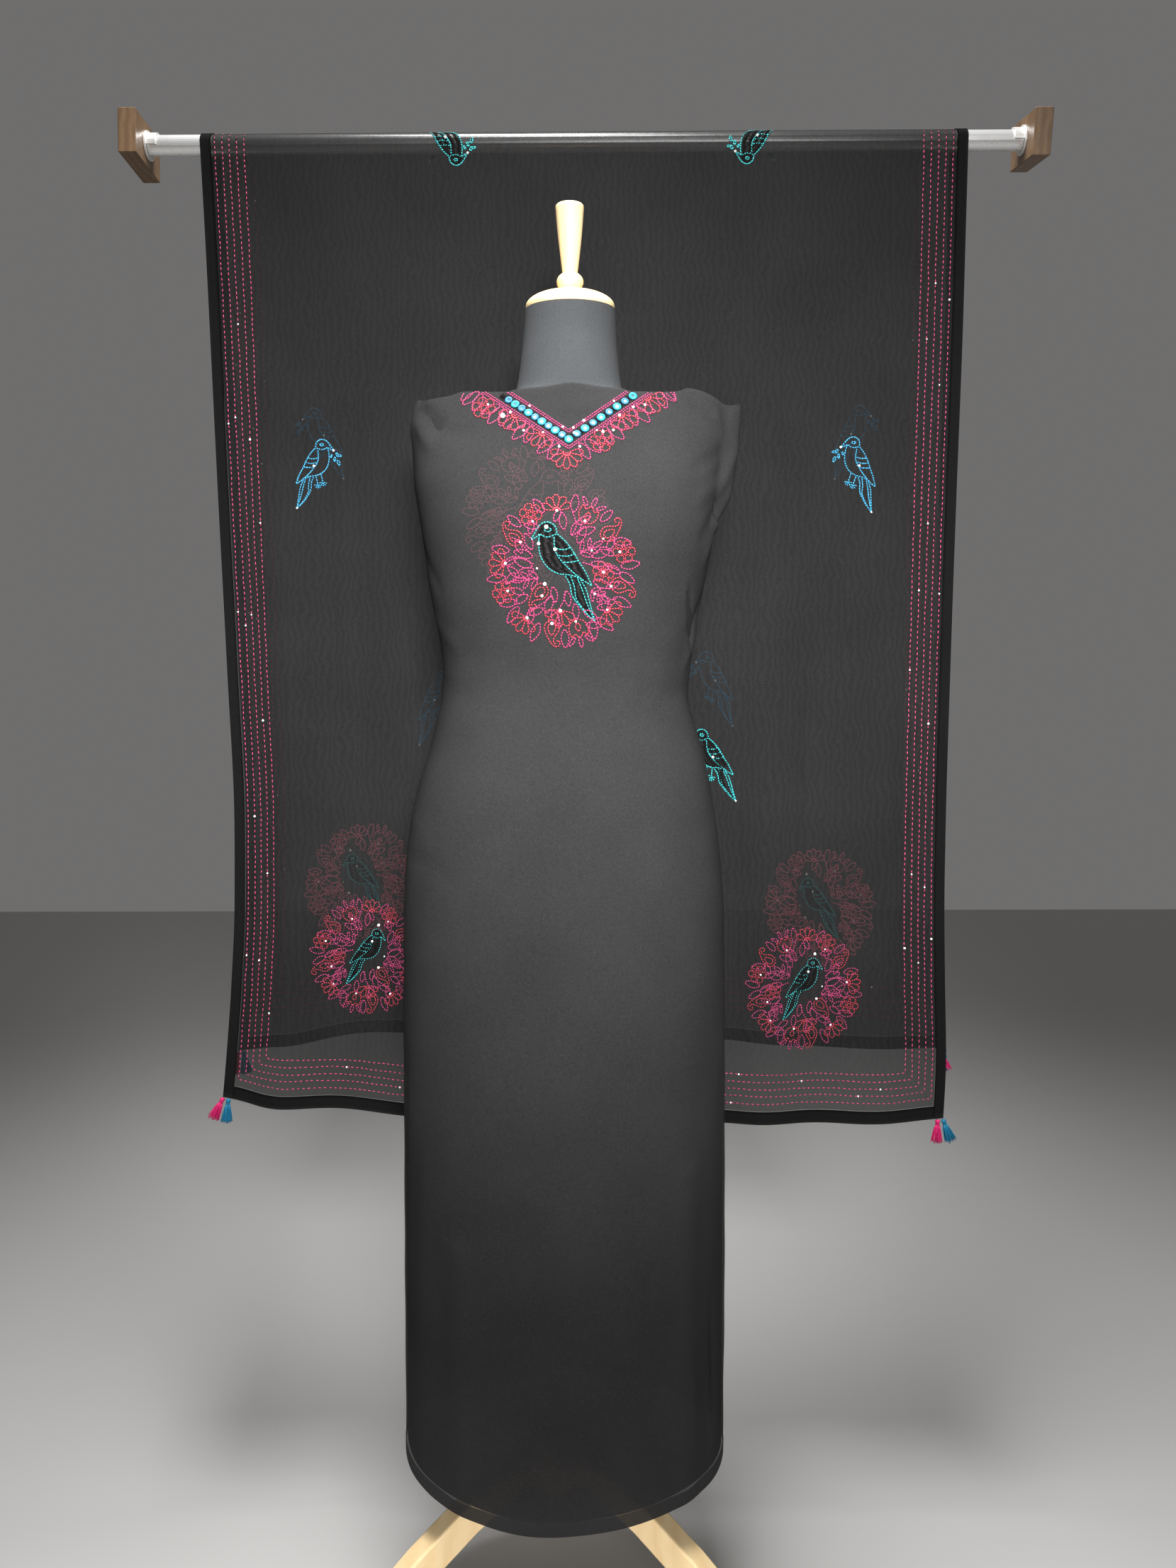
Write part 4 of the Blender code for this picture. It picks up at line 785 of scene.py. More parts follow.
def makeBody():
    rings = []
    low = dressForm["low"]
    tilt = math.radians(dressForm["neckTilt"])
    for height, inset in ((low, 0.022), (low + 0.002, 0.014), (low + 0.006, 0.008),
                          (low + 0.012, 0.0035), (low + 0.020, 0.001)):
        sizes = [float(smoothTable(wornOutline, height, column)) for column in range(1, 6)]
        clear = dressForm["clear"] + inset
        rings.append(formRing(height, min(sizes[0], sizes[1]) - clear, sizes[2] - clear,
                              sizes[3] - clear, sizes[4], 0.0))
    for height in np.arange(low + 0.035, 1.325, 0.015):
        sizes = [float(smoothTable(wornOutline, height, column)) for column in range(1, 6)]
        clear = dressForm["clear"]
        rings.append(formRing(height, min(sizes[0], sizes[1]) - clear, sizes[2] - clear,
                              sizes[3] - clear, sizes[4], 0.0))
    for height in np.arange(1.333, dressForm["top"] + 0.0001, 0.0034):
        sizes = [float(smoothTable(formShoulders, height, column)) for column in range(1, 5)]
        part = float(ease((height - 1.40) / (dressForm["top"] - 1.40)))
        rings.append(formRing(height, *sizes, tilt * part))
    rings.append(formRing(dressForm["top"], 0.0510, 0.0510, 0.0510, 2.0, tilt))
    sides = dressForm["sides"]
    faces = gridFaces(len(rings), sides, closed=True, flip=True)
    faces.append(tuple(range(sides)))
    last = (len(rings) - 1) * sides
    faces.append(tuple(range(last + sides - 1, last - 1, -1)))
    body = addPiece("formBody", np.concatenate(rings), faces, [finishes["jersey"]])
    body.data.set_sharp_from_angle(angle=math.radians(60))
    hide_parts("form_torso")


def turnedPiece(name, profile, material, node):
    # a turned piece from its profile, top to bottom, set on the tilted neck
    steps = dressForm["turnSteps"]
    angles = np.linspace(0, 2 * math.pi, steps, endpoint=False)
    rings = [np.stack((r * np.cos(angles), r * np.sin(angles), np.full(steps, z)), -1)
             for r, z in profile]
    faces = gridFaces(len(rings), steps, closed=True)
    faces.append(tuple(range(steps)))
    last = (len(rings) - 1) * steps
    faces.append(tuple(range(last + steps - 1, last - 1, -1)))
    tilt = Matrix.Rotation(math.radians(dressForm["neckTilt"]), 3, "X")
    base = Vector((axisAt(dressForm["top"]), wornForm["axisY"], dressForm["top"] + 0.0003))
    verts = [base + tilt @ Vector(point) for ring in rings for point in ring]
    piece = addPiece(name, verts, faces, [material])
    piece.data.set_sharp_from_angle(angle=math.radians(50))
    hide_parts(node)


def arcPoints(middle, radii, first, last, count):
    angles = np.radians(np.linspace(first, last, count + 1))
    return [(middle[0] + radii[0] * math.cos(a), middle[1] + radii[1] * math.sin(a))
            for a in angles]


def makeCapAndFinial():
    d = dressForm
    dome = arcPoints((0.0, d["capRim"]), (d["capRadius"], d["capDome"]), 84, 0, 22)
    top = d["capRim"] + d["capDome"]
    profile = [(0.004, top)] + [p for p in dome if p[0] > d["capFlat"]]
    profile += arcPoints((d["capRadius"] - 0.0012, 0.0012), (0.0012, 0.0012), 0, -90, 4)
    turnedPiece("formCap", profile, finishes["birch"], "form_neck_cap")

    base = top + 0.0003
    ball = arcPoints((0.0, base + d["ballHigh"] * 0.46), (d["ballRadius"], d["ballHigh"] * 0.54),
                     55, -42, 16)
    crown = arcPoints((d["postTop"] - 0.004, base + d["ballHigh"] + d["postLong"] - 0.004),
                      (0.004, 0.004), 88, 0, 6)
    post = []
    foot = base + d["ballHigh"]
    for part in np.linspace(0.93, 0.0, 12):
        bulge = 0.0009 * math.sin(math.pi * part)
        post.append((d["postFoot"] + (d["postTop"] - d["postFoot"]) * part**1.08 + bulge,
                     foot + (d["postLong"] - 0.004) * part))
    profile = [(0.001, foot + d["postLong"] + 0.0008), (0.008, foot + d["postLong"] + 0.0005)]
    profile += crown + post + ball + [(0.0108, base)]
    turnedPiece("formFinial", profile, finishes["birch"], "form_finial")


makeBody()
makeCapAndFinial()


def keepSolid(name, finish):
    # a solid that already has its right shape keeps it, with a worked finish
    mesh = nodes[name].data
    mesh.materials.clear()
    mesh.materials.append(finishes[finish])


for name in ("form_pole", "form_hub", "form_leg_left", "form_leg_right", "form_leg_back"):
    keepSolid(name, "birch")
keepSolid("rod", "steel")
for side in ("left", "right"):
    keepSolid("rod_block_" + side, "oak")
    keepSolid("rod_socket_" + side, "zinc")
print("dress form, rod and blocks made")

# embroidery: drawings are lists of (thread, line) in millimetres, sewn as small raised stitches


def smoothLine(points, closed=False, parts=8):
    # a soft line through given points
    p = np.array(points, float)
    count = len(p)
    spans = count if closed else count - 1
    line = []
    for i in range(spans):
        if closed:
            a, b, c, d = p[i - 1], p[i], p[(i + 1) % count], p[(i + 2) % count]
        else:
            a, b, c, d = p[max(i - 1, 0)], p[i], p[i + 1], p[min(i + 2, count - 1)]
        for t in np.linspace(0, 1, parts, endpoint=False):
            line.append(0.5 * (2 * b + (c - a) * t + (2 * a - 5 * b + 4 * c - d) * t**2
                               + (3 * b - a - 3 * c + d) * t**3))
    line.append(p[0] if closed else p[-1])
    return np.array(line)


def moved(drawing, x=0.0, y=0.0, turn=0.0, size=1.0, mirror=False):
    # turn is clockwise, in degrees
    angle = math.radians(-turn)
    matrix = size * np.array(((math.cos(angle), -math.sin(angle)), (math.sin(angle), math.cos(angle))))
    flip = np.array((-1.0 if mirror else 1.0, 1.0))
    return [(thread, (line * flip) @ matrix.T + (x, y)) for thread, line in drawing]


def leaf(length, wide=0.36, thread="pinkThread"):
    w = length * wide / 2
    outline = [(0, 0), (w * 0.72, length * 0.22), (w, length * 0.50), (w * 0.62, length * 0.78),
               (0, length), (-w * 0.66, length * 0.76), (-w, length * 0.46), (-w * 0.68, length * 0.20)]
    return [(thread, smoothLine(outline, True, 4))]


def petal(length, wide, thread="coralThread"):
    w = wide / 2
    outline = [(0, 0), (w * 0.50, length * 0.30), (w * 0.98, length * 0.66), (w * 0.62, length * 0.93),
               (0, length), (-w * 0.62, length * 0.93), (-w * 0.98, length * 0.66),
               (-w * 0.50, length * 0.30)]
    return [(thread, smoothLine(outline, True, 4))]


def fanFlower(size, petals=5, spread=128):
    # petals side by side, from a small seed cup at the foot
    drawing = [("coralThread", np.array(((-0.10 * size, 0.0), (0.0, 0.12 * size), (0.10 * size, 0.0))))]
    step = spread / (petals - 1)
    wide = 2 * size * 0.70 * math.tan(math.radians(step / 2))
    for i in range(petals):
        angle = -spread / 2 + step * i
        length = size * (0.74 + 0.12 * math.cos(math.radians(angle)))
        drawing += moved(petal(length, wide), 0.13 * size * math.sin(math.radians(angle)),
                         0.13 * size * math.cos(math.radians(angle)), turn=angle)
    return drawing


def roundFlower(size, petals=6):
    drawing = []
    wide = 2 * size * 0.30 * math.tan(math.radians(180 / petals)) * 1.15
    for i in range(petals):
        angle = 360 / petals * i + 12
        drawing += moved(petal(size * 0.36, wide), x=size * 0.15 * math.sin(math.radians(angle)),
                         y=size * (0.5 + 0.15 * math.cos(math.radians(angle))), turn=angle)
    ring = [(size * 0.13 * math.sin(a), size * (0.5 + 0.13 * math.cos(a)))
            for a in np.linspace(0, 2 * math.pi, 7)[:-1]]
    return drawing + [("coralThread", smoothLine(ring, True, 4))]


def tulipBud(size):
    s = size
    cup = [(0, 0.02 * s), (0.24 * s, 0.12 * s), (0.36 * s, 0.36 * s), (0.30 * s, 0.66 * s)]
    crown = [(0.30 * s, 0.66 * s), (0.17 * s, 0.52 * s), (0.0, 0.74 * s), (-0.17 * s, 0.52 * s),
             (-0.31 * s, 0.68 * s)]
    other = [(-0.31 * s, 0.68 * s), (-0.37 * s, 0.38 * s), (-0.24 * s, 0.12 * s), (0, 0.02 * s)]
    drop = [(0, 0.16 * s), (0.11 * s, 0.30 * s), (0.0, 0.48 * s), (-0.11 * s, 0.30 * s)]
    drawing = [("coralThread", smoothLine(cup, False, 4)), ("coralThread", np.array(crown)),
               ("coralThread", smoothLine(other, False, 4)), ("coralThread", smoothLine(drop, True, 4))]
    for turn, long in ((-46, 0.42), (2, 0.46), (48, 0.42)):
        drawing += moved(leaf(size * long, 0.34), y=0.66 * s, x=0.24 * s * math.sin(math.radians(turn)),
                         turn=turn)
    return drawing


def paisley(size):
    outline = [(0.20, 0.80), (0.29, 0.75), (0.38, 0.83), (0.34, 0.96), (0.20, 1.00), (0.04, 0.90),
               (-0.10, 0.70), (-0.24, 0.46), (-0.28, 0.22), (-0.14, 0.03), (0.07, -0.01),
               (0.25, 0.12), (0.30, 0.34), (0.20, 0.54), (0.11, 0.70), (0.12, 0.86), (0.22, 0.90)]
    drop = [(0.00, 0.10), (-0.14, 0.22), (-0.12, 0.42), (0.02, 0.60), (0.12, 0.40), (0.15, 0.20)]
    return [("coralThread", smoothLine([(x * size, y * size) for x, y in outline], False, 4)),
            ("coralThread", smoothLine([(x * size, y * size) for x, y in drop], True, 4))]


def spray(size, pairs=2, bend=0.12, wide=0.35):
    stem = smoothLine([(0, 0), (bend * 0.4 * size, 0.28 * size), (bend * size, 0.54 * size)], False, 5)
    drawing = [("pinkThread", stem)]
    drawing += moved(leaf(0.50 * size, wide), bend * size, 0.52 * size, turn=bend * 60)
    for i in range(pairs):
        part = 0.04 + 0.58 * i / max(pairs - 1, 1)
        x, y = bend * size * part, 0.54 * size * part
        long = size * (0.50 - 0.05 * i)
        drawing += moved(leaf(long, wide), x, y + 0.02 * size, turn=50 + bend * 30)
        drawing += moved(leaf(long * 0.94, wide), x, y + 0.06 * size, turn=-48 + bend * 30)
    return drawing


def songbird(thread="tealThread"):
    # an ordinary perched bird, head to the upper left, about 117 mm long
    lines = [
        [(-6, 37), (-8, 45), (-16, 49.5), (-24, 46), (-29, 38), (-33, 31)],
        [(-33, 31), (-27, 34), (-24, 37)],
        [(-24, 37), (-16, 33.5), (-6, 37)],
        [(-6, 37), (2, 30), (10, 20), (17, 8), (24, -3), (30, -16)],
        [(30, -16), (19, -9), (8, 0), (-2, 10), (-8, 20), (-9, 34)],
        [(-24, 37), (-25, 27), (-23, 14), (-16, 3), (-5, -3.5), (8, -5), (17, -8)],
        [(-7.5, 22), (1, 20.5), (8, 23)],
        [(-4.5, 15), (5, 14), (13, 17)],
        [(0.5, 8), (9, 8), (17, 10)],
        [(2, -5.5), (7, -14), (9, -25), (15, -34)],
        [(8, -6), (12, -18), (14, -30), (28, -48)],
        [(15, -8), (20, -20), (25, -34), (33, -52)],
        [(18, -9), (24, -20), (28, -34), (33, -52)],
        [(15, -34), (22, -42), (33, -52)],
    ]
    eye = [(-19.5, 41), (-15.5, 43.5), (-11.5, 41.5), (-15, 38.8)]
    drawing = [(thread, smoothLine(line, False, 4)) for line in lines]
    return drawing + [(thread, smoothLine(eye, True, 3))]


# the bird's body and tail, which rows of dark stitches fill: painted shade, for the darker see-through
# inside the bird
birdBody = ((-6, 37), (-8, 45), (-16, 49.5), (-24, 46), (-27, 39), (-25, 27), (-23, 14), (-16, 3),
            (-5, -3.5), (2, -5.5), (7, -14), (9, -25), (15, -34), (22, -42), (33, -52), (28, -34),
            (24, -20), (27, -10), (24, -3), (17, 8), (10, 20), (2, 30))


# rows of dark stitches across the bird's inside: painted shade
def birdShadeFill(gap=1.0):
    rows = []
    for y in np.arange(-50.5, 49.0, gap):
        cuts = []
        for (x0, y0), (x1, y1) in zip(birdBody, birdBody[1:] + birdBody[:1]):
            if (y0 > y) != (y1 > y):
                cuts.append(x0 + (x1 - x0) * (y - y0) / (y1 - y0))
        cuts.sort()
        for first, last in zip(cuts[::2], cuts[1::2]):
            if last - first > 1.0:
                rows.append(("edgingCloth", np.array(((first, y), (last, y)))))
    return rows


def sprigAndFeet(thread):
    # a leafy sprig in the beak, and two feet
    drawing = []
    for x, y, turn, size in ((-36, 28, 205, 9), (-38, 24, 250, 8), (-34, 22, 165, 9), (-37, 17, 195, 10),
                             (-30, 26, 150, 7)):
        drawing += moved(leaf(size, 0.45, thread), x, y, turn)
    for x, y in ((-9, -2), (-1, -5)):
        drawing.append((thread, np.array(((x, y), (x - 1.5, y - 13.0)))))
        for turn in (140, 180, 215, 255, 95):
            angle = math.radians(turn)
            tip = (x - 1.5 + 6.5 * math.sin(angle), y - 13 + 6.5 * math.cos(angle))
            drawing.append((thread, np.array(((x - 1.5, y - 13.0), tip))))
    return drawing


# wreath: motif, degrees clockwise from the top, millimetres from the middle to its foot, lean,
# size, mirrored
wreathRows = (
    ("fan", -6, 61, 4, 18, 0), ("leaf", 11, 60, -4, 18, 0), ("bud", 25, 52, 0, 28, 0),
    ("leaf", 38, 63, 10, 16, 0), ("paisley", 51, 52, 8, 27, 1), ("leaf", 60, 60, 34, 18, 0),
    ("round", 73, 55, 0, 23, 0), ("leaf", 86, 60, -8, 19, 0), ("leaf", 92, 58, 28, 18, 0),
    ("paisley", 105, 52, -6, 27, 0), ("leaf", 118, 59, -4, 19, 0), ("fan", 131, 60, 2, 18, 0),
    ("leaf", 144, 60, -18, 19, 0), ("leaf", 149, 58, 22, 19, 0), ("bud", 165, 51, 2, 28, 0),
    ("leaf", 179, 60, -2, 18, 0), ("paisley", 193, 52, -8, 27, 1), ("leaf", 205, 59, 2, 19, 0),
    ("fan", 219, 61, 0, 18, 0), ("leaf", 232, 59, -14, 19, 0), ("leaf", 237, 57, 24, 18, 0),
    ("round", 251, 55, 0, 23, 0), ("leaf", 264, 60, 2, 19, 0), ("fan", 277, 61, 0, 18, 0),
    ("leaf", 290, 59, -8, 18, 0), ("paisley", 303, 52, 4, 27, 0), ("leaf", 316, 62, -6, 17, 0),
    ("round", 330, 55, 0, 23, 0), ("leaf", 342, 62, -20, 17, 0),
    ("leaf", 2, 41, -10, 17, 0), ("leaf", 14, 36, 18, 18, 0), ("leaf", 30, 31, -6, 18, 0),
    ("spray", 46, 24, 6, 27, 0), ("leaf", 66, 33, 6, 18, 0), ("leaf", 76, 30, 30, 18, 0),
    ("round", 93, 31, 0, 22, 0), ("leaf", 109, 33, 0, 18, 0), ("spray", 126, 35, 4, 23, 1),
    ("leaf", 157, 60, -62, 15, 0), ("leaf", 160, 36, 14, 15, 0), ("fan", 184, 40, 4, 19, 0),
    ("leaf", 172, 21, -4, 15, 0), ("leaf", 205, 28, -6, 18, 0), ("leaf", 208, 44, 40, 15, 0),
    ("paisley", 227, 24, 4, 27, 1), ("spray", 252, 26, 2, 28, 0), ("leaf", 272, 30, -20, 20, 0),
    ("leaf", 276, 32, 20, 20, 0), ("leaf", 294, 34, -8, 19, 0), ("leaf", 303, 38, 34, 17, 0),
    ("leaf", 240, 47, 50, 14, 0), ("leaf", 317, 50, 52, 14, 0), ("leaf", 18, 49, 40, 15, 0),
    ("leaf", 24, 40, 46, 17, 0), ("leaf", 59, 44, 56, 16, 0), ("leaf", 67, 50, -40, 15, 0),
    ("leaf", 84, 46, 34, 15, 0), ("leaf", 120, 50, 60, 16, 0), ("leaf", 112, 48, -44, 14, 0),
    ("leaf", 138, 52, -60, 15, 0), ("leaf", 153, 46, -34, 15, 0), ("leaf", 196, 42, -38, 16, 0),
    ("leaf", 213, 20, -44, 15, 0), ("leaf", 222, 50, -36, 16, 0), ("leaf", 236, 44, 4, 16, 0),
    ("leaf", 262, 46, 50, 15, 0), ("leaf", 286, 50, -44, 15, 0), ("leaf", 268, 50, -46, 14, 0),
    ("leaf", 331, 50, -50, 15, 0), ("leaf", 350, 50, 34, 14, 0), ("leaf", 292, 46, 44, 14, 0),
)

wreathStems = (
    ((9, 35), (14, 44), (12, 54), (10, 60)), ((20, 8), (34, 4), (48, 4), (58, 0)),
    ((34, -14), (42, -24), (50, -30), (56, -28)), ((3, -21), (0, -32), (-6, -44), (-2, -58)),
    ((-12, -26), (-22, -34), (-34, -40), (-40, -48)), ((-28, -8), (-40, -10), (-50, -10), (-60, -12)),
    ((-30, 6), (-42, 12), (-52, 12), (-60, 8)), ((-31, 14), (-40, 24), (-44, 30), (-54, 34)),
)

# beads on the wreath: x, y, radius
wreathBeads = (
    (-17, 44, 2.4), (-25, 27, 1.9), (-8, 21, 2.0), (-6, 61, 1.6), (23, 50, 1.6), (42, 32, 1.2),
    (59, 19, 1.6), (42, -2, 1.7), (50, -16, 1.6), (33, -24, 1.4), (46, -40, 1.3), (-3, -41, 2.0),
    (13, -52, 1.5), (-12, -54, 1.9), (-38, -48, 1.7), (-22, -26, 1.6), (-19, -14, 2.1), (-58, -20, 1.5),
    (-60, 8, 1.6), (-44, 29, 1.5), (-31, 50, 1.3), (30, 20, 1.2), (-27, 2, 1.2),
)


def motif(kind, size):
    if kind == "fan":
        return fanFlower(size)
    if kind == "bud":
        return tulipBud(size)
    if kind == "paisley":
        return paisley(size)
    if kind == "spray":
        return spray(size)
    if kind == "round":
        return roundFlower(size)
    return leaf(size * 1.12, 0.42)


def medallion():
    drawing = [("pinkThread", smoothLine(stem, False, 6)) for stem in wreathStems]
    for kind, turn, foot, lean, size, mirror in wreathRows:
        angle = math.radians(turn)
        drawing += moved(motif(kind, size), foot * math.sin(angle), foot * math.cos(angle),
                         turn + lean, 1.0, bool(mirror))
    return drawing + songbird()


def grainShapes():
    # along, across and up, for one stitch of half length, half width and height 1
    plump = [(-1, 0, 0.1), (-0.55, -1, 0.2), (-0.55, 0, 1), (-0.55, 1, 0.2), (-0.55, 0, -0.5),
             (0.55, -1, 0.2), (0.55, 0, 1), (0.55, 1, 0.2), (0.55, 0, -0.5), (1, 0, 0.1)]
    plumpFaces = [(0, 2, 1), (0, 3, 2), (0, 4, 3), (0, 1, 4), (1, 2, 6, 5), (2, 3, 7, 6),
                  (3, 4, 8, 7), (4, 1, 5, 8), (9, 5, 6), (9, 6, 7), (9, 7, 8), (9, 8, 5)]
    slim = [(-1, 0, 0), (0, -1, 0.2), (0, 0, 1), (0, 1, 0.2), (0, 0, -0.5), (1, 0, 0)]
    slimFaces = [(0, 2, 1), (0, 3, 2), (0, 4, 3), (0, 1, 4), (5, 1, 2), (5, 2, 3), (5, 3, 4), (5, 4, 1)]
    steps = [(math.sin(a), math.cos(a)) for a in np.linspace(0, 2 * math.pi, 11)[:-1]]
    pearl, pearlFaces = [(0, 0, -0.6)], []
    for flat, high in ((0.72, -0.35), (1.0, 0.25), (0.86, 0.85), (0.45, 1.28)):
        pearl += [(x * flat, y * flat, high) for x, y in steps]
    pearl.append((0, 0, 1.42))
    n = len(steps)
    for i in range(n):
        j = (i + 1) % n
        pearlFaces.append((0, 1 + i, 1 + j))
        for ring in range(3):
            low, high = 1 + ring * n, 1 + (ring + 1) * n
            pearlFaces.append((low + i, high + i, high + j, low + j))
        pearlFaces.append((1 + 3 * n + i, 1 + 4 * n, 1 + 3 * n + j))
    return {"plump": (np.array(plump, float), plumpFaces), "slim": (np.array(slim, float), slimFaces),
            "pearl": (np.array(pearl, float), pearlFaces)}


grains = grainShapes()


class Needlework:
    # gathers stitches and beads on one cloth, and joins them into one piece
    def __init__(self, name, place, cloth, seed):
        self.name, self.place, self.cloth = name, place, cloth
        self.random = random.Random(seed)
        self.work = {}
        self.threads = []

    def gather(self, grain, ends, sizes, thread, under):
        if thread not in self.threads:
            self.threads.append(thread)
        rows = self.work.setdefault((grain, self.threads.index(thread), under), [[], []])
        rows[0].append(ends)
        rows[1].append(sizes)

    def sew(self, drawing, stitch, scale=0.001, under=False, recolour=None):
        # stitch: pitch, share of the pitch that shows, half width, height, slant in degrees
        for thread, line in drawing:
            points = np.asarray(line, float) * scale
            step = np.hypot(*np.diff(points, axis=0).T)
            run = np.concatenate(((0.0,), np.cumsum(step)))
            count = max(1, round(run[-1] / stitch["pitch"]))
            pitch = run[-1] / count
            middle = (np.arange(count) + 0.5) * pitch
            half = pitch * stitch["shows"] / 2
            wobble = np.array([self.random.uniform(-1, 1) for _ in range(count * 3)]).reshape(3, -1)
            half = half * (1 + 0.12 * wobble[0])
            centre = middle + 0.06 * pitch * wobble[1]
            starts = np.stack([np.interp(centre - half, run, points[:, k]) for k in (0, 1)], -1)
            stops = np.stack([np.interp(centre + half, run, points[:, k]) for k in (0, 1)], -1)
            slant = np.radians(stitch["slant"] + 4 * wobble[2])
            mid, way = (starts + stops) / 2, (stops - starts) / 2
            turned = np.stack((way[:, 0] * np.cos(slant) - way[:, 1] * np.sin(slant),
                               way[:, 0] * np.sin(slant) + way[:, 1] * np.cos(slant)), -1)
            ends = np.stack((mid - turned, mid + turned), 1)
            sizes = np.tile((stitch["half"], stitch["high"]), (count, 1))
            self.gather(stitch["grain"], ends, sizes, recolour or thread, under)

    def bead(self, x, y, radius, scale=0.001):
        x, y, radius = x * scale, y * scale, radius * 0.001
        ends = np.array([((x - radius, y), (x + radius, y))])
        self.gather("pearl", ends, np.array([(radius, radius)]), "bead", False)

    def finish(self):
        verts, faces, marks, start = [], [], [], 0
        for (grain, mark, under), (ends, sizes) in self.work.items():
            shape, shapeFaces = grains[grain]
            ends, sizes = np.concatenate(ends), np.concatenate(sizes)
            first, normal, there = self.place(ends[:, 0])
            second, _, too = self.place(ends[:, 1])
            keep = there & too
            first, second, normal, sizes = first[keep], second[keep], normal[keep], sizes[keep]
            if under:
                normal = -normal
            way = second - first
            length = np.linalg.norm(way, axis=1, keepdims=True)
            keep = length[:, 0] < 0.030
            first, second, normal = first[keep], second[keep], normal[keep]
            sizes, way, length = sizes[keep], way[keep], length[keep]
            along = way / np.maximum(length, 1e-9)
            across = np.cross(normal, along)
            middle = (first + second) / 2
            points = (middle[:, None, :] + shape[None, :, :1] * (way / 2)[:, None, :]
                      + shape[None, :, 1:2] * (across * sizes[:, :1])[:, None, :]
                      + shape[None, :, 2:] * (normal * sizes[:, 1:])[:, None, :])
            verts.append(points.reshape(-1, 3))
            size = len(shape)
            for k in range(len(points)):
                base = start + k * size
                faces += [tuple(base + index for index in face) for face in shapeFaces]
            marks += [mark] * (len(points) * len(shapeFaces))
            start += len(points) * size
        piece = addPiece(self.name, np.concatenate(verts), faces,
                         [finishes[thread] for thread in self.threads], marks)
        return piece


def clothPlace(piece, offset):
    # finds the cloth straight behind a point of a front-view drawing, given in metres
    tree = BVHTree.FromPolygons([v.co for v in piece.data.vertices],
                                [tuple(p.vertices) for p in piece.data.polygons])

    def place(points):
        spots = np.zeros((len(points), 3))
        normals = np.zeros((len(points), 3))
        there = np.zeros(len(points), bool)
        for k, (x, z) in enumerate(points):
            spot, normal = tree.ray_cast(Vector((x, -0.6, z)), Vector((0, 1, 0)), 0.62)[:2]
            if spot is not None:
                if normal.y > 0:
                    normal = -normal
                spots[k], normals[k], there[k] = spot + normal * offset, normal, True
        return spots, normals, there
    return place


outlineStitch = {"grain": "plump", "pitch": 0.0030, "shows": 1.04, "half": 0.00088, "high": 0.00080,
                 "slant": 13.0}
# the stitch for the bird's rows of painted shade
shadeFillStitch = {"grain": "slim", "pitch": 0.0080, "shows": 1.15, "half": 0.00062, "high": 0.00022,
              "slant": 0.0}
birdStitch = {"grain": "plump", "pitch": 0.0031, "shows": 1.00, "half": 0.00078, "high": 0.00078,
              "slant": 4.0}

chest = {"middle": (-21.1, 1183.8), "reversePlace": (-50.0, 1242.0), "seed": 11}

# neck: left top, point and right top of the mirror row, in millimetres
neckline = {"left": (-80.0, 1373.0), "point": (-15.0, 1324.5), "right": (53.4, 1377.0),
            "bigRing": 4.85, "smallRing": 4.40, "lineGaps": (6.6, 8.9),
            "lineReach": 118.0, "seed": 5}

# border motifs: kind, millimetres along the arm from the point, lean, size, mirrored
leftBorder = (
    ("leaf", 6, -6, 20, 0), ("leaf", 13, 10, 21, 0), ("fan", 27, 0, 19, 0), ("leaf", 41, -16, 20, 0),
    ("leaf", 45, 8, 23, 0), ("leaf", 49, 34, 20, 0), ("fan", 64, -2, 20, 0), ("leaf", 77, -22, 20, 0),
    ("leaf", 81, 2, 23, 0), ("leaf", 85, 28, 20, 0), ("round", 98, -2, 25, 0), ("leaf", 110, -12, 21, 0),
    ("leaf", 114, 16, 21, 0), ("leaf", 122, 8, 18, 0),
)
rightBorder = (
    ("leaf", 6, 6, 20, 0), ("leaf", 13, -12, 21, 0), ("round", 27, 0, 25, 0), ("leaf", 39, 18, 20, 0),
    ("leaf", 43, -8, 23, 0), ("leaf", 47, -34, 20, 0), ("fan", 62, 2, 20, 0), ("leaf", 75, 20, 20, 0),
    ("leaf", 79, -6, 23, 0), ("leaf", 83, -30, 20, 0), ("fan", 98, 0, 21, 0), ("leaf", 112, 12, 21, 0),
    ("leaf", 116, -14, 20, 0), ("leaf", 123, 4, 18, 0),
)


def armLine(arm, offset, along):
    # points beside the mirror row's arm: offset is outwards from the neck
    point, top = np.array(neckline["point"]), np.array(neckline[arm])
    way = (top - point) / np.hypot(*(top - point))
    out = np.array((way[1], -way[0])) if arm == "right" else np.array((-way[1], way[0]))
    if out[1] > 0:
        out = -out
    return point + way * along + out * offset, way, out


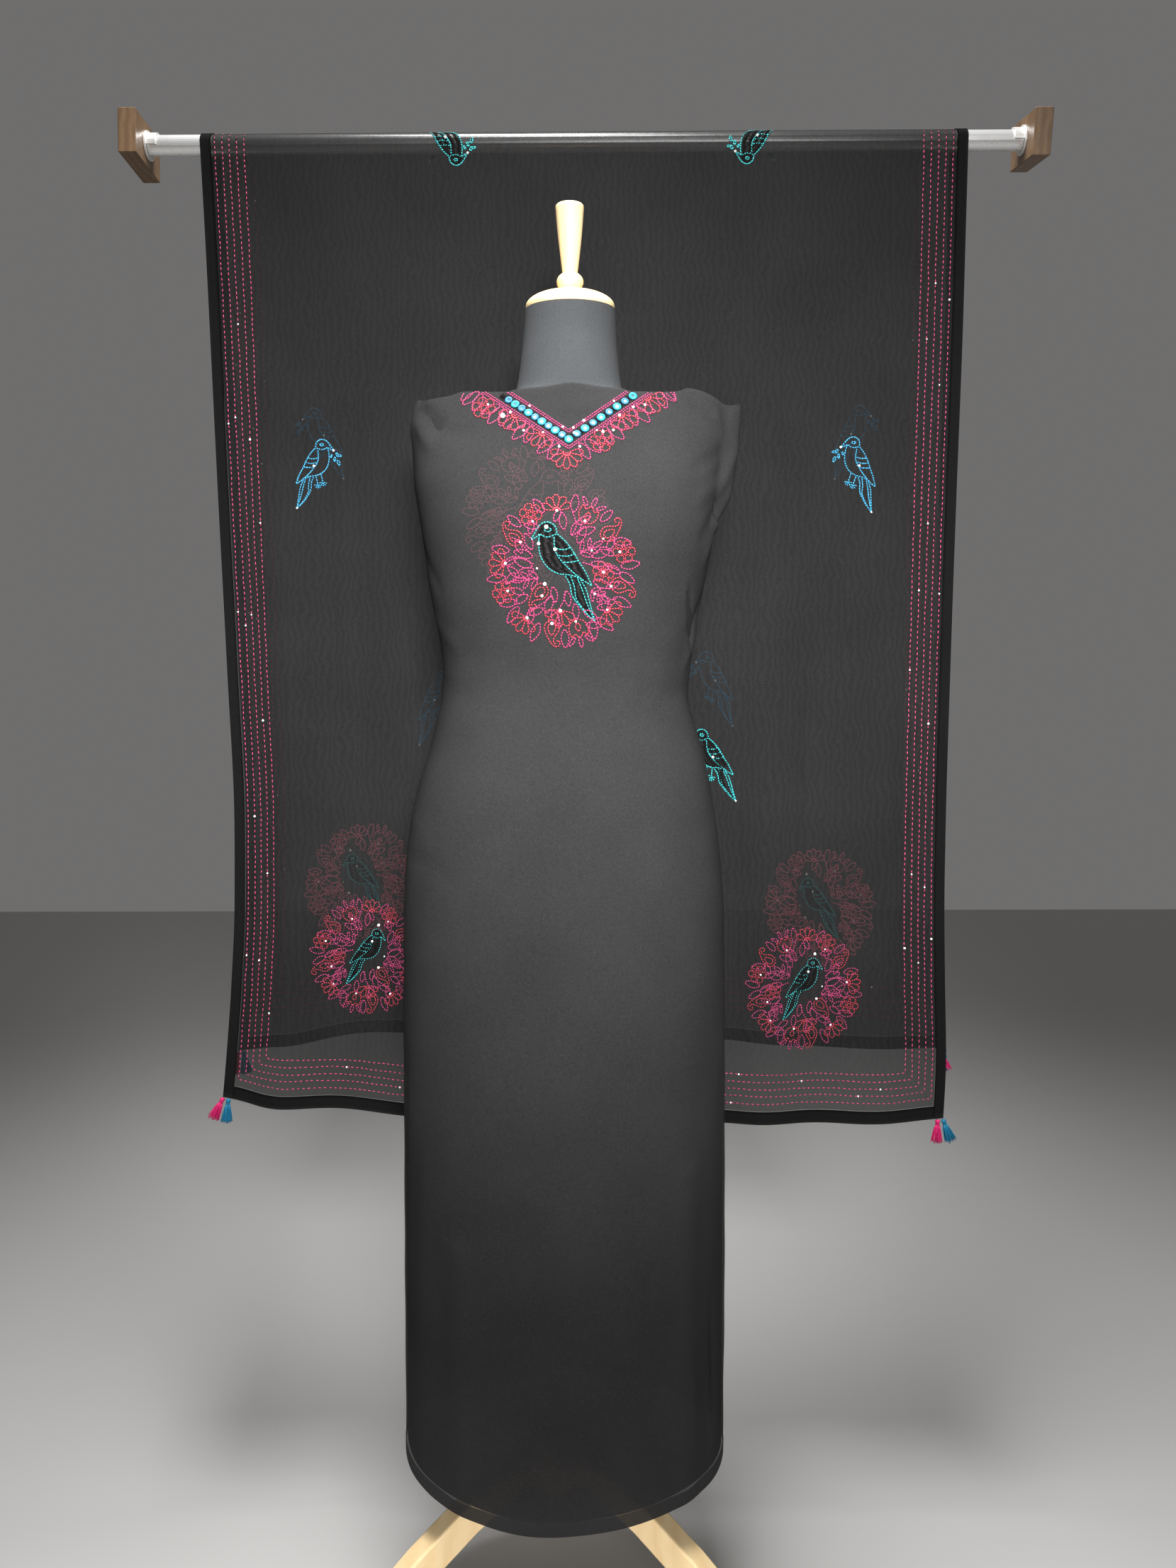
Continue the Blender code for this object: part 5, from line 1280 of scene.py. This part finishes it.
def makeRings():
    # mirrors held by satin-stitched rings, along the neck
    place = clothPlace(kameezFront, 0.0002)
    steps, turns = 36, 8
    ringVerts, ringFaces, ringMarks = [], [], []
    discVerts, discFaces = [], []
    spots = [(armLine("left", 0, 0)[0], 0)]
    for arm, count in (("left", 9), ("right", 8)):
        far = math.hypot(*(np.array(neckline[arm]) - np.array(neckline["point"])))
        for k in range(1, count + 1):
            spots.append((armLine(arm, 0, far * k / count)[0], k))
    for spot, order in spots:
        radius = neckline["bigRing"] if order % 2 == 0 else neckline["smallRing"]
        (centre,), (normal,), (there,) = place(np.array([spot]) * 0.001)
        if not there:
            continue
        up = Vector(normal)
        side = up.cross(Vector((0, 0, 1))).normalized()
        fore = up.cross(side)
        wide = radius * 0.00036
        middle = radius * 0.001 - wide
        start = len(ringVerts)
        for i in range(steps):
            angle = 2 * math.pi * i / steps
            way = side * math.cos(angle) + fore * math.sin(angle)
            thick = 1.0 if i % 2 else 0.84
            for j in range(turns):
                round_ = 2 * math.pi * j / turns
                ringVerts.append(Vector(centre) + way * (middle + wide * thick * math.cos(round_))
                                 + up * (0.00045 + 0.0009 * thick * math.sin(round_)))
        for i in range(steps):
            for j in range(turns):
                a, b = start + i * turns + j, start + i * turns + (j + 1) % turns
                c, d = (start + (i + 1) % steps * turns + (j + 1) % turns,
                        start + (i + 1) % steps * turns + j)
                ringFaces.append((a, b, c, d))
                ringMarks.append(0 if order % 2 == 0 else 1)
        start = len(discVerts)
        edge = middle - wide * 0.55
        for high, size in ((0.0003, edge), (0.00062, edge * 0.97)):
            for i in range(steps):
                angle = 2 * math.pi * i / steps
                way = side * math.cos(angle) + fore * math.sin(angle)
                discVerts.append(Vector(centre) + way * size + up * high)
        for i in range(steps):
            j = (i + 1) % steps
            discFaces.append((start + i, start + steps + i, start + steps + j, start + j))
        discFaces.append(tuple(range(start + steps, start + 2 * steps)))
    rings = addPiece("mirrorRings", ringVerts, ringFaces,
                     [finishes["turquoiseThread"], finishes["steelBlueThread"]], ringMarks)
    discs = addPiece("mirrors", discVerts, discFaces, [finishes["mirror"]], None, False)
    return rings, discs


def makeNeck():
    work = Needlework("neckEmbroidery", clothPlace(kameezFront, 0.0001), "georgette", neckline["seed"])
    lines = []
    for arm in ("left", "right"):
        for gap in neckline["lineGaps"]:
            for side in (-1, 1):
                corner = np.array((neckline["point"][0], neckline["point"][1] - side * gap * 1.26))
                far = armLine(arm, side * gap, neckline["lineReach"])[0]
                lines.append(("pinkThread", np.array((corner, corner + (far - corner) * 0.5, far))))
    work.sew(lines, outlineStitch)
    satin = []
    for arm in ("left", "right"):
        for along in np.arange(0.5, 112, 1.15):
            first = armLine(arm, -5.6, along)[0]
            last = armLine(arm, 5.6, along)[0]
            satin.append(("edgingCloth", np.array((first, last))))
    work.sew(satin, {"grain": "slim", "pitch": 0.0112, "shows": 1.0, "half": 0.0007, "high": 0.0004,
                     "slant": 0.0})
    drawing = []
    for arm, rows in (("left", leftBorder), ("right", rightBorder)):
        for kind, along, lean, size, mirror in rows:
            foot, _, out = armLine(arm, 10.0, along)
            turn = math.degrees(math.atan2(out[0], out[1]))
            drawing += moved(motif(kind, size), foot[0], foot[1], turn + lean, 1.0, bool(mirror))
    drawing += moved(fanFlower(20, 7, 180), neckline["point"][0] - 2, neckline["point"][1] - 15, 180)
    work.sew(drawing, outlineStitch)
    for arm, rows in (("left", (14, 27, 45, 58, 70)), ("right", (12, 30, 44, 66, 78))):
        for k, along in enumerate(rows):
            spot = armLine(arm, (-8.0, 9.5, 20.0, -7.0, 11.0)[k], along)[0]
            work.bead(*spot, (1.4, 1.2, 1.5, 1.3, 1.6)[k])
    for along, offset, radius in ((74, 19, 2.9), (3, 13, 1.6), (0, -9, 1.5), (96, 17, 1.3)):
        work.bead(*armLine("left", offset, along)[0], radius)
    for along, offset, radius in ((34, 15, 1.8), (60, 10, 1.8), (90, 16, 1.6), (4, 14, 1.5),
                                  (26, -8, 1.7)):
        work.bead(*armLine("right", offset, along)[0], radius)
    return work.finish()


def makeChest():
    drawing = medallion()
    x, y = chest["middle"]
    work = Needlework("chestMedallion", clothPlace(kameezFront, 0.0001), "georgette", chest["seed"])
    wreath = [row for row in drawing if row[0] != "tealThread"]
    bird = [row for row in drawing if row[0] == "tealThread"]
    work.sew(moved(wreath, x, y), outlineStitch)
    work.sew(moved(birdShadeFill(), x, y), shadeFillStitch)
    work.sew(moved(bird, x, y), birdStitch)
    for beadX, beadY, radius in wreathBeads:
        work.bead(x + beadX, y + beadY, radius)
    front = work.finish()

    x, y = chest["reversePlace"]
    faint = Needlework("reverseMedallion", clothPlace(kameezBack, 0.0001), "georgette",
                       chest["seed"] + 1)
    # the reversed stitches take the brighter thread, painted light through the cloth
    faint.sew(moved(drawing, x, y, 0, 0.98, True),
              {"grain": "slim", "pitch": 0.0036, "shows": 1.25, "half": 0.0010, "high": 0.0005,
               "slant": 8.0}, recolour="reverseThreadPaintedLight")
    return front, faint.finish()


ringWork = makeRings()
neckWork = makeNeck()
chestWork, reverseWork = makeChest()
print("kameez embroidery sewn:", sum(len(p.data.polygons) for p in (neckWork, chestWork, reverseWork)),
      "faces")

lineStitch = {"grain": "slim", "pitch": 0.0068, "shows": 0.84, "half": 0.00090, "high": 0.00055,
              "slant": 0.0}
fineBirdStitch = {"grain": "slim", "pitch": 0.0033, "shows": 0.86, "half": 0.00066, "high": 0.0005,
                  "slant": 0.0}
wreathStitch = {"grain": "slim", "pitch": 0.0032, "shows": 1.12, "half": 0.00094, "high": 0.0006,
                "slant": 10.0}
reverseStitch = {"grain": "slim", "pitch": 0.0034, "shows": 1.3, "half": 0.00130, "high": 0.0004,
                 "slant": 16.0}

dupattaWork = {"lines": (17.5, 27.0, 36.0, 45.5, 55.0), "endFrom": 26.0, "seed": 23,
               "beadEvery": 0.42}

# birds on the dupatta: fall, x, height, turn, size, faces right, thread
dupattaBirds = (
    ("front", -0.3460, 1.3470, -5.0, 0.86, True, "blueThread"),
    ("front", 0.3470, 1.3500, 12.0, 0.88, False, "blueThread"),
    ("front", 0.0000, 1.3520, -5.0, 0.87, True, "blueThread"),
    ("front", 0.1630, 0.9800, -1.5, 0.92, False, "brightTealThread"),
    ("front", -0.1780, 0.9800, -5.0, 0.90, True, "brightTealThread"),
    ("rear", -0.3460, 1.4020, -5.0, 0.87, True, "blueThread"),
    ("rear", 0.3460, 1.4050, 8.0, 0.87, False, "blueThread"),
    ("rear", 0.0050, 1.4000, -5.0, 0.87, True, "blueThread"),
    ("rear", 0.1640, 1.0840, -6.0, 0.90, True, "blueThread"),
    ("rear", -0.2015, 1.0515, 6.0, 0.90, False, "blueThread"),
    ("front", -0.1760, 1.7830, 183.0, 0.88, False, "brightTealThread"),
    ("front", 0.2190, 1.7830, 177.0, 0.88, True, "brightTealThread"),
)

# medallions on the dupatta: fall, x, height, size
dupattaMedallions = (
    ("front", -0.2865, 0.7186, 0.96), ("front", 0.2790, 0.6910, 1.0), ("front", -0.0040, 0.7040, 0.98),
    ("rear", -0.3030, 0.8250, 0.97), ("rear", 0.2980, 0.8035, 0.98), ("rear", -0.0020, 0.8150, 0.98),
)


def flatSpot(fall, x, height):
    # a point of a fall, given by x and height, on the flat cloth
    left = float(smoothTable(dupattaSides, height, 1))
    right = float(smoothTable(dupattaSides, height, 2))
    middle = flatDupatta.grid[:, flatDupatta.grid.shape[1] // 2, 2]
    top = dupatta["frontRows"] + dupatta["turnRows"] // 2
    if fall == "front":
        along = np.interp(height, middle[:top], flatDupatta.along[:top])
    else:
        along = np.interp(height, middle[top:][::-1], flatDupatta.along[top:][::-1])
    return ((x - left) / (right - left) - 0.5) * dupatta["wide"], float(along)


def dupattaPlace(points):
    cloth = flatDupatta
    c = np.interp(points[:, 0], cloth.across, np.arange(len(cloth.across)))
    r = np.interp(points[:, 1], cloth.along, np.arange(len(cloth.along)))
    there = (np.abs(points[:, 0]) < 0.4895) & (points[:, 1] > 0) & (points[:, 1] < cloth.along[-1])
    c0 = np.minimum(c.astype(int), len(cloth.across) - 2)
    r0 = np.minimum(r.astype(int), len(cloth.along) - 2)
    u, v = (c - c0)[:, None], (r - r0)[:, None]
    a, b = cloth.grid[r0, c0], cloth.grid[r0, c0 + 1]
    d, e = cloth.grid[r0 + 1, c0], cloth.grid[r0 + 1, c0 + 1]
    spot = (a * (1 - u) + b * u) * (1 - v) + (d * (1 - u) + e * u) * v
    normal = np.cross(b - a, d - a)
    normal /= np.linalg.norm(normal, axis=1, keepdims=True)
    return spot, normal, there


def placeOnDupatta(drawing, fall, x, height, turn, size, mirror):
    across, along = flatSpot(fall, x, height)
    if fall == "rear":
        turn += 180
    return moved(drawing, across * 1000, along * 1000, turn, size, mirror)


def makeLines():
    work = Needlework("dupattaLines", dupattaPlace, "sheer_georgette", dupattaWork["seed"])
    length = flatDupatta.along[-1] * 1000
    half = dupatta["wide"] * 500
    rng = random.Random(dupattaWork["seed"])
    for gap in dupattaWork["lines"]:
        x, low = half - gap - 1.0, gap - 17.5 + dupattaWork["endFrom"]
        high = length - low
        corners = [(-x, low), (x, low), (x, high), (-x, high), (-x, low)]
        drawing = []
        for first, last in zip(corners, corners[1:]):
            count = 60 if first[1] == last[1] else 160
            line = np.linspace(first, last, count)
            across = 0 if first[0] == last[0] else 1
            line[1:-1, across] += [rng.uniform(-0.5, 0.5) for _ in range(count - 2)]
            drawing.append(("pinkThread", line))
        work.sew(drawing, lineStitch, recolour="lineThread")
        for first, last in zip(corners, corners[1:]):
            span = math.hypot(last[0] - first[0], last[1] - first[1])
            count = round(span / 1000 / dupattaWork["beadEvery"])
            for k in range(count):
                part = (k + rng.uniform(0.1, 0.9)) / count
                work.bead(first[0] + (last[0] - first[0]) * part, first[1] + (last[1] - first[1]) * part,
                          rng.choice((1.1, 1.3, 1.3, 1.6)))
    return work.finish()


def makeDupattaMotifs():
    birds = Needlework("dupattaBirds", dupattaPlace, "sheer_georgette", dupattaWork["seed"] + 1)
    for fall, x, height, turn, size, right, colour in dupattaBirds:
        drawing = songbird(colour) + sprigAndFeet(colour)
        placed = placeOnDupatta(drawing, fall, x, height, turn, size, right)
        if colour == "brightTealThread":
            birds.sew(placeOnDupatta(birdShadeFill(1.2), fall, x, height, turn, size, right), shadeFillStitch)
        birds.sew(placed, fineBirdStitch)
        birds.sew(placed, reverseStitch, under=True)
        for beadX, beadY, radius in ((-33, 31, 1.7), (0, 10, 1.8), (33, -52, 1.3)):
            spot = placeOnDupatta([("bead", np.array(((beadX, beadY),), float))], fall, x, height, turn,
                                  size, right)[0][1][0]
            birds.bead(*spot, radius)
    piece = birds.finish()
    wreath = [row for row in medallion() if row[0] != "tealThread"]
    pieces = [piece]
    for fall in ("front", "rear"):
        work = Needlework("dupattaMedallions" + fall.capitalize(), dupattaPlace, "sheer_georgette",
                          dupattaWork["seed"] + 2)
        for where, x, height, size in dupattaMedallions:
            if where != fall:
                continue
            around = placeOnDupatta(wreath, fall, x, height, 0, size, True)
            bird = placeOnDupatta(songbird("brightTealThread"), fall, x, height, 3, size * 0.80, True)
            work.sew(around, wreathStitch)
            fill = placeOnDupatta(birdShadeFill(1.2), fall, x, height, 3, size * 0.80, True)
            work.sew(fill, shadeFillStitch)
            work.sew(bird, fineBirdStitch)
            if fall == "rear":
                # the reversed wreath takes the brighter thread, painted light through the cloth
                work.sew(around, reverseStitch, under=True, recolour="reverseThreadPaintedLight")
                work.sew(bird, reverseStitch, under=True)
            beads = np.array([row[:2] for row in wreathBeads])
            spots = placeOnDupatta([("bead", beads)], fall, x, height, 0, size, True)[0][1]
            for spot, row in zip(spots[::2], wreathBeads[::2]):
                work.bead(*spot, row[2] * 0.85)
        pieces.append(work.finish())
    return pieces


lineWork = makeLines()
motifWork = makeDupattaMotifs()
print("dupatta embroidery sewn:", sum(len(p.data.polygons) for p in [lineWork] + motifWork), "faces")

# tassels at the dupatta's four corners, a pink and a teal one at each

# columns: side, end, thread, swing to the right in degrees
tassels = (
    ("left", "front", "pink", -26.0), ("left", "front", "teal", -5.0),
    ("right", "front", "pink", -3.0), ("right", "front", "teal", 20.0),
    ("left", "rear", "pink", -10.0), ("left", "rear", "teal", 8.0),
    ("right", "rear", "pink", 17.0), ("right", "rear", "teal", -6.0),
)
tassel = {"long": 0.0310, "head": 0.0030, "in": 0.004, "step": 0.0036, "drop": 0.0010,
          "edging": 0.0015, "strands": 42, "strandRadius": 0.00062, "spread": 2.7, "sides": 5,
          "steps": 7, "headSides": 16, "wraps": 3, "seed": 41}


def roundTube(points, radii, sides, flatten=1.0):
    # rings round a line that runs down, with closed ends
    verts = []
    for point, radius in zip(points, radii):
        for k in range(sides):
            angle = 2 * math.pi * k / sides
            offset = Vector((math.cos(angle), math.sin(angle) * flatten, 0)) * radius
            verts.append(Vector(point) + offset)
    faces = gridFaces(len(points), sides, closed=True)
    faces.append(tuple(range(sides)))
    last = (len(points) - 1) * sides
    faces.append(tuple(range(last + sides - 1, last - 1, -1)))
    return verts, faces


def tasselShape(rng):
    # a wrapped head and fine strands that fall from it, hanging from the origin
    head = tassel["head"]
    profile = [(0.25, 0.0), (0.80, -0.25), (1.02, -0.70), (1.0, -1.25), (0.82, -1.60)]
    for k in range(tassel["wraps"]):
        profile += [(0.74, -1.66 - 0.22 * k), (0.84, -1.77 - 0.22 * k)]
    profile += [(0.74, -2.32), (0.92, -2.55)]
    verts, faces = roundTube([(0, 0, z * head) for r, z in profile], [r * head for r, z in profile],
                             tassel["headSides"])
    for k in range(tassel["strands"]):
        turn = 2.399963 * k
        out = math.sqrt((k + 0.5) / tassel["strands"])
        way = Vector((math.cos(turn), math.sin(turn), 0))
        length = tassel["long"] - 2.4 * head - rng.uniform(0.0, 0.0030)
        curl = rng.uniform(-0.0007, 0.0007)
        line, radii = [], []
        for part in np.linspace(0, 1, tassel["steps"]):
            bulge = out * head * (0.78 + (tassel["spread"] - 0.78) * part ** 0.8)
            side = Vector((-way.y, way.x, 0)) * curl * math.sin(3.1 * part + k)
            line.append(way * bulge + side + Vector((0, 0, -2.4 * head - length * part)))
            radii.append(tassel["strandRadius"] * (1.0 - 0.30 * part))
        more, moreFaces = roundTube(line, radii, tassel["sides"])
        faces += [tuple(index + len(verts) for index in face) for face in moreFaces]
        verts += more
    return verts, faces


def makeTassels():
    rng = random.Random(tassel["seed"])
    pieces = []
    for side, end, colour, swing in tassels:
        share = tassel["in"] if side == "left" else 1 - tassel["in"]
        share += (1 if colour == "teal" else -1) * tassel["step"] / dupatta["wide"]
        height = float(endHeight(share, end))
        corner = Vector(dupattaFall(share, height, end, 0.0))
        outward = -1.0 if end == "front" else 1.0
        place = Matrix.Translation((corner.x, corner.y + outward * tassel["edging"] / 2,
                                    height - tassel["drop"]))
        place = place @ Matrix.Rotation(math.radians(-swing), 4, "Y")
        verts, faces = tasselShape(rng)
        name = "_".join((end, side, colour))
        piece = addPiece("tassel" + end.capitalize() + side.capitalize() + colour.capitalize(),
                         [place @ point for point in verts], faces, [finishes[colour + "Tassel"]])
        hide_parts("tassel_" + name)
        pieces.append(piece)
    return pieces


tasselPieces = makeTassels()
print("tassels made:", len(tasselPieces))

# floor, light and the world's even grey
studio = {"worldGrey": (0.49, 0.48, 0.475), "worldStrength": 0.32}


def makeFloor():
    material = bpy.data.materials.new("paleFloor")
    material.use_nodes = True
    shader = material.node_tree.nodes["Principled BSDF"]
    shader.inputs["Base Color"].default_value = (0.50, 0.495, 0.485, 1)
    shader.inputs["Roughness"].default_value = 0.9
    mesh = bpy.data.meshes.new("floor")
    mesh.from_pydata([(-6, -5, 0), (6, -5, 0), (6, 6, 0), (-6, 6, 0)], [], [(0, 1, 2, 3)])
    mesh.materials.append(material)
    floor = bpy.data.objects.new("floor", mesh)
    bpy.context.scene.collection.objects.link(floor)


def areaLight(name, place, aim, size, power, spread):
    data = bpy.data.lights.new(name, "AREA")
    data.shape = "RECTANGLE"
    data.size, data.size_y = size
    data.energy = power
    data.spread = math.radians(spread)
    lamp = bpy.data.objects.new(name, data)
    bpy.context.scene.collection.objects.link(lamp)
    way = Vector(aim) - Vector(place)
    lamp.matrix_world = Matrix.Translation(place) @ way.to_track_quat("-Z", "Y").to_matrix().to_4x4()


# name, place, aim, size, power, spread in degrees
studioLights = (
    ("softFront", (0.25, -2.5, 1.75), (0.02, -0.1, 1.13), (0.7, 0.4), 12.5, 38),
    ("softTop", (-0.1, -0.42, 3.1), (0.0, -0.40, 0.6), (1.3, 0.5), 38, 100),
    ("softLow", (0.0, -1.5, 0.10), (0.0, -0.15, 0.06), (0.9, 0.10), 0.75, 30),
)


def makeLight():
    world = bpy.data.worlds.new("evenGrey")
    world.use_nodes = True
    back = world.node_tree.nodes["Background"]
    back.inputs["Color"].default_value = (*studio["worldGrey"], 1)
    back.inputs["Strength"].default_value = studio["worldStrength"]
    bpy.context.scene.world = world
    for row in studioLights:
        areaLight(*row)
    bpy.context.scene.view_settings.view_transform = "Standard"


makeFloor()
makeLight()
print("floor and light placed")
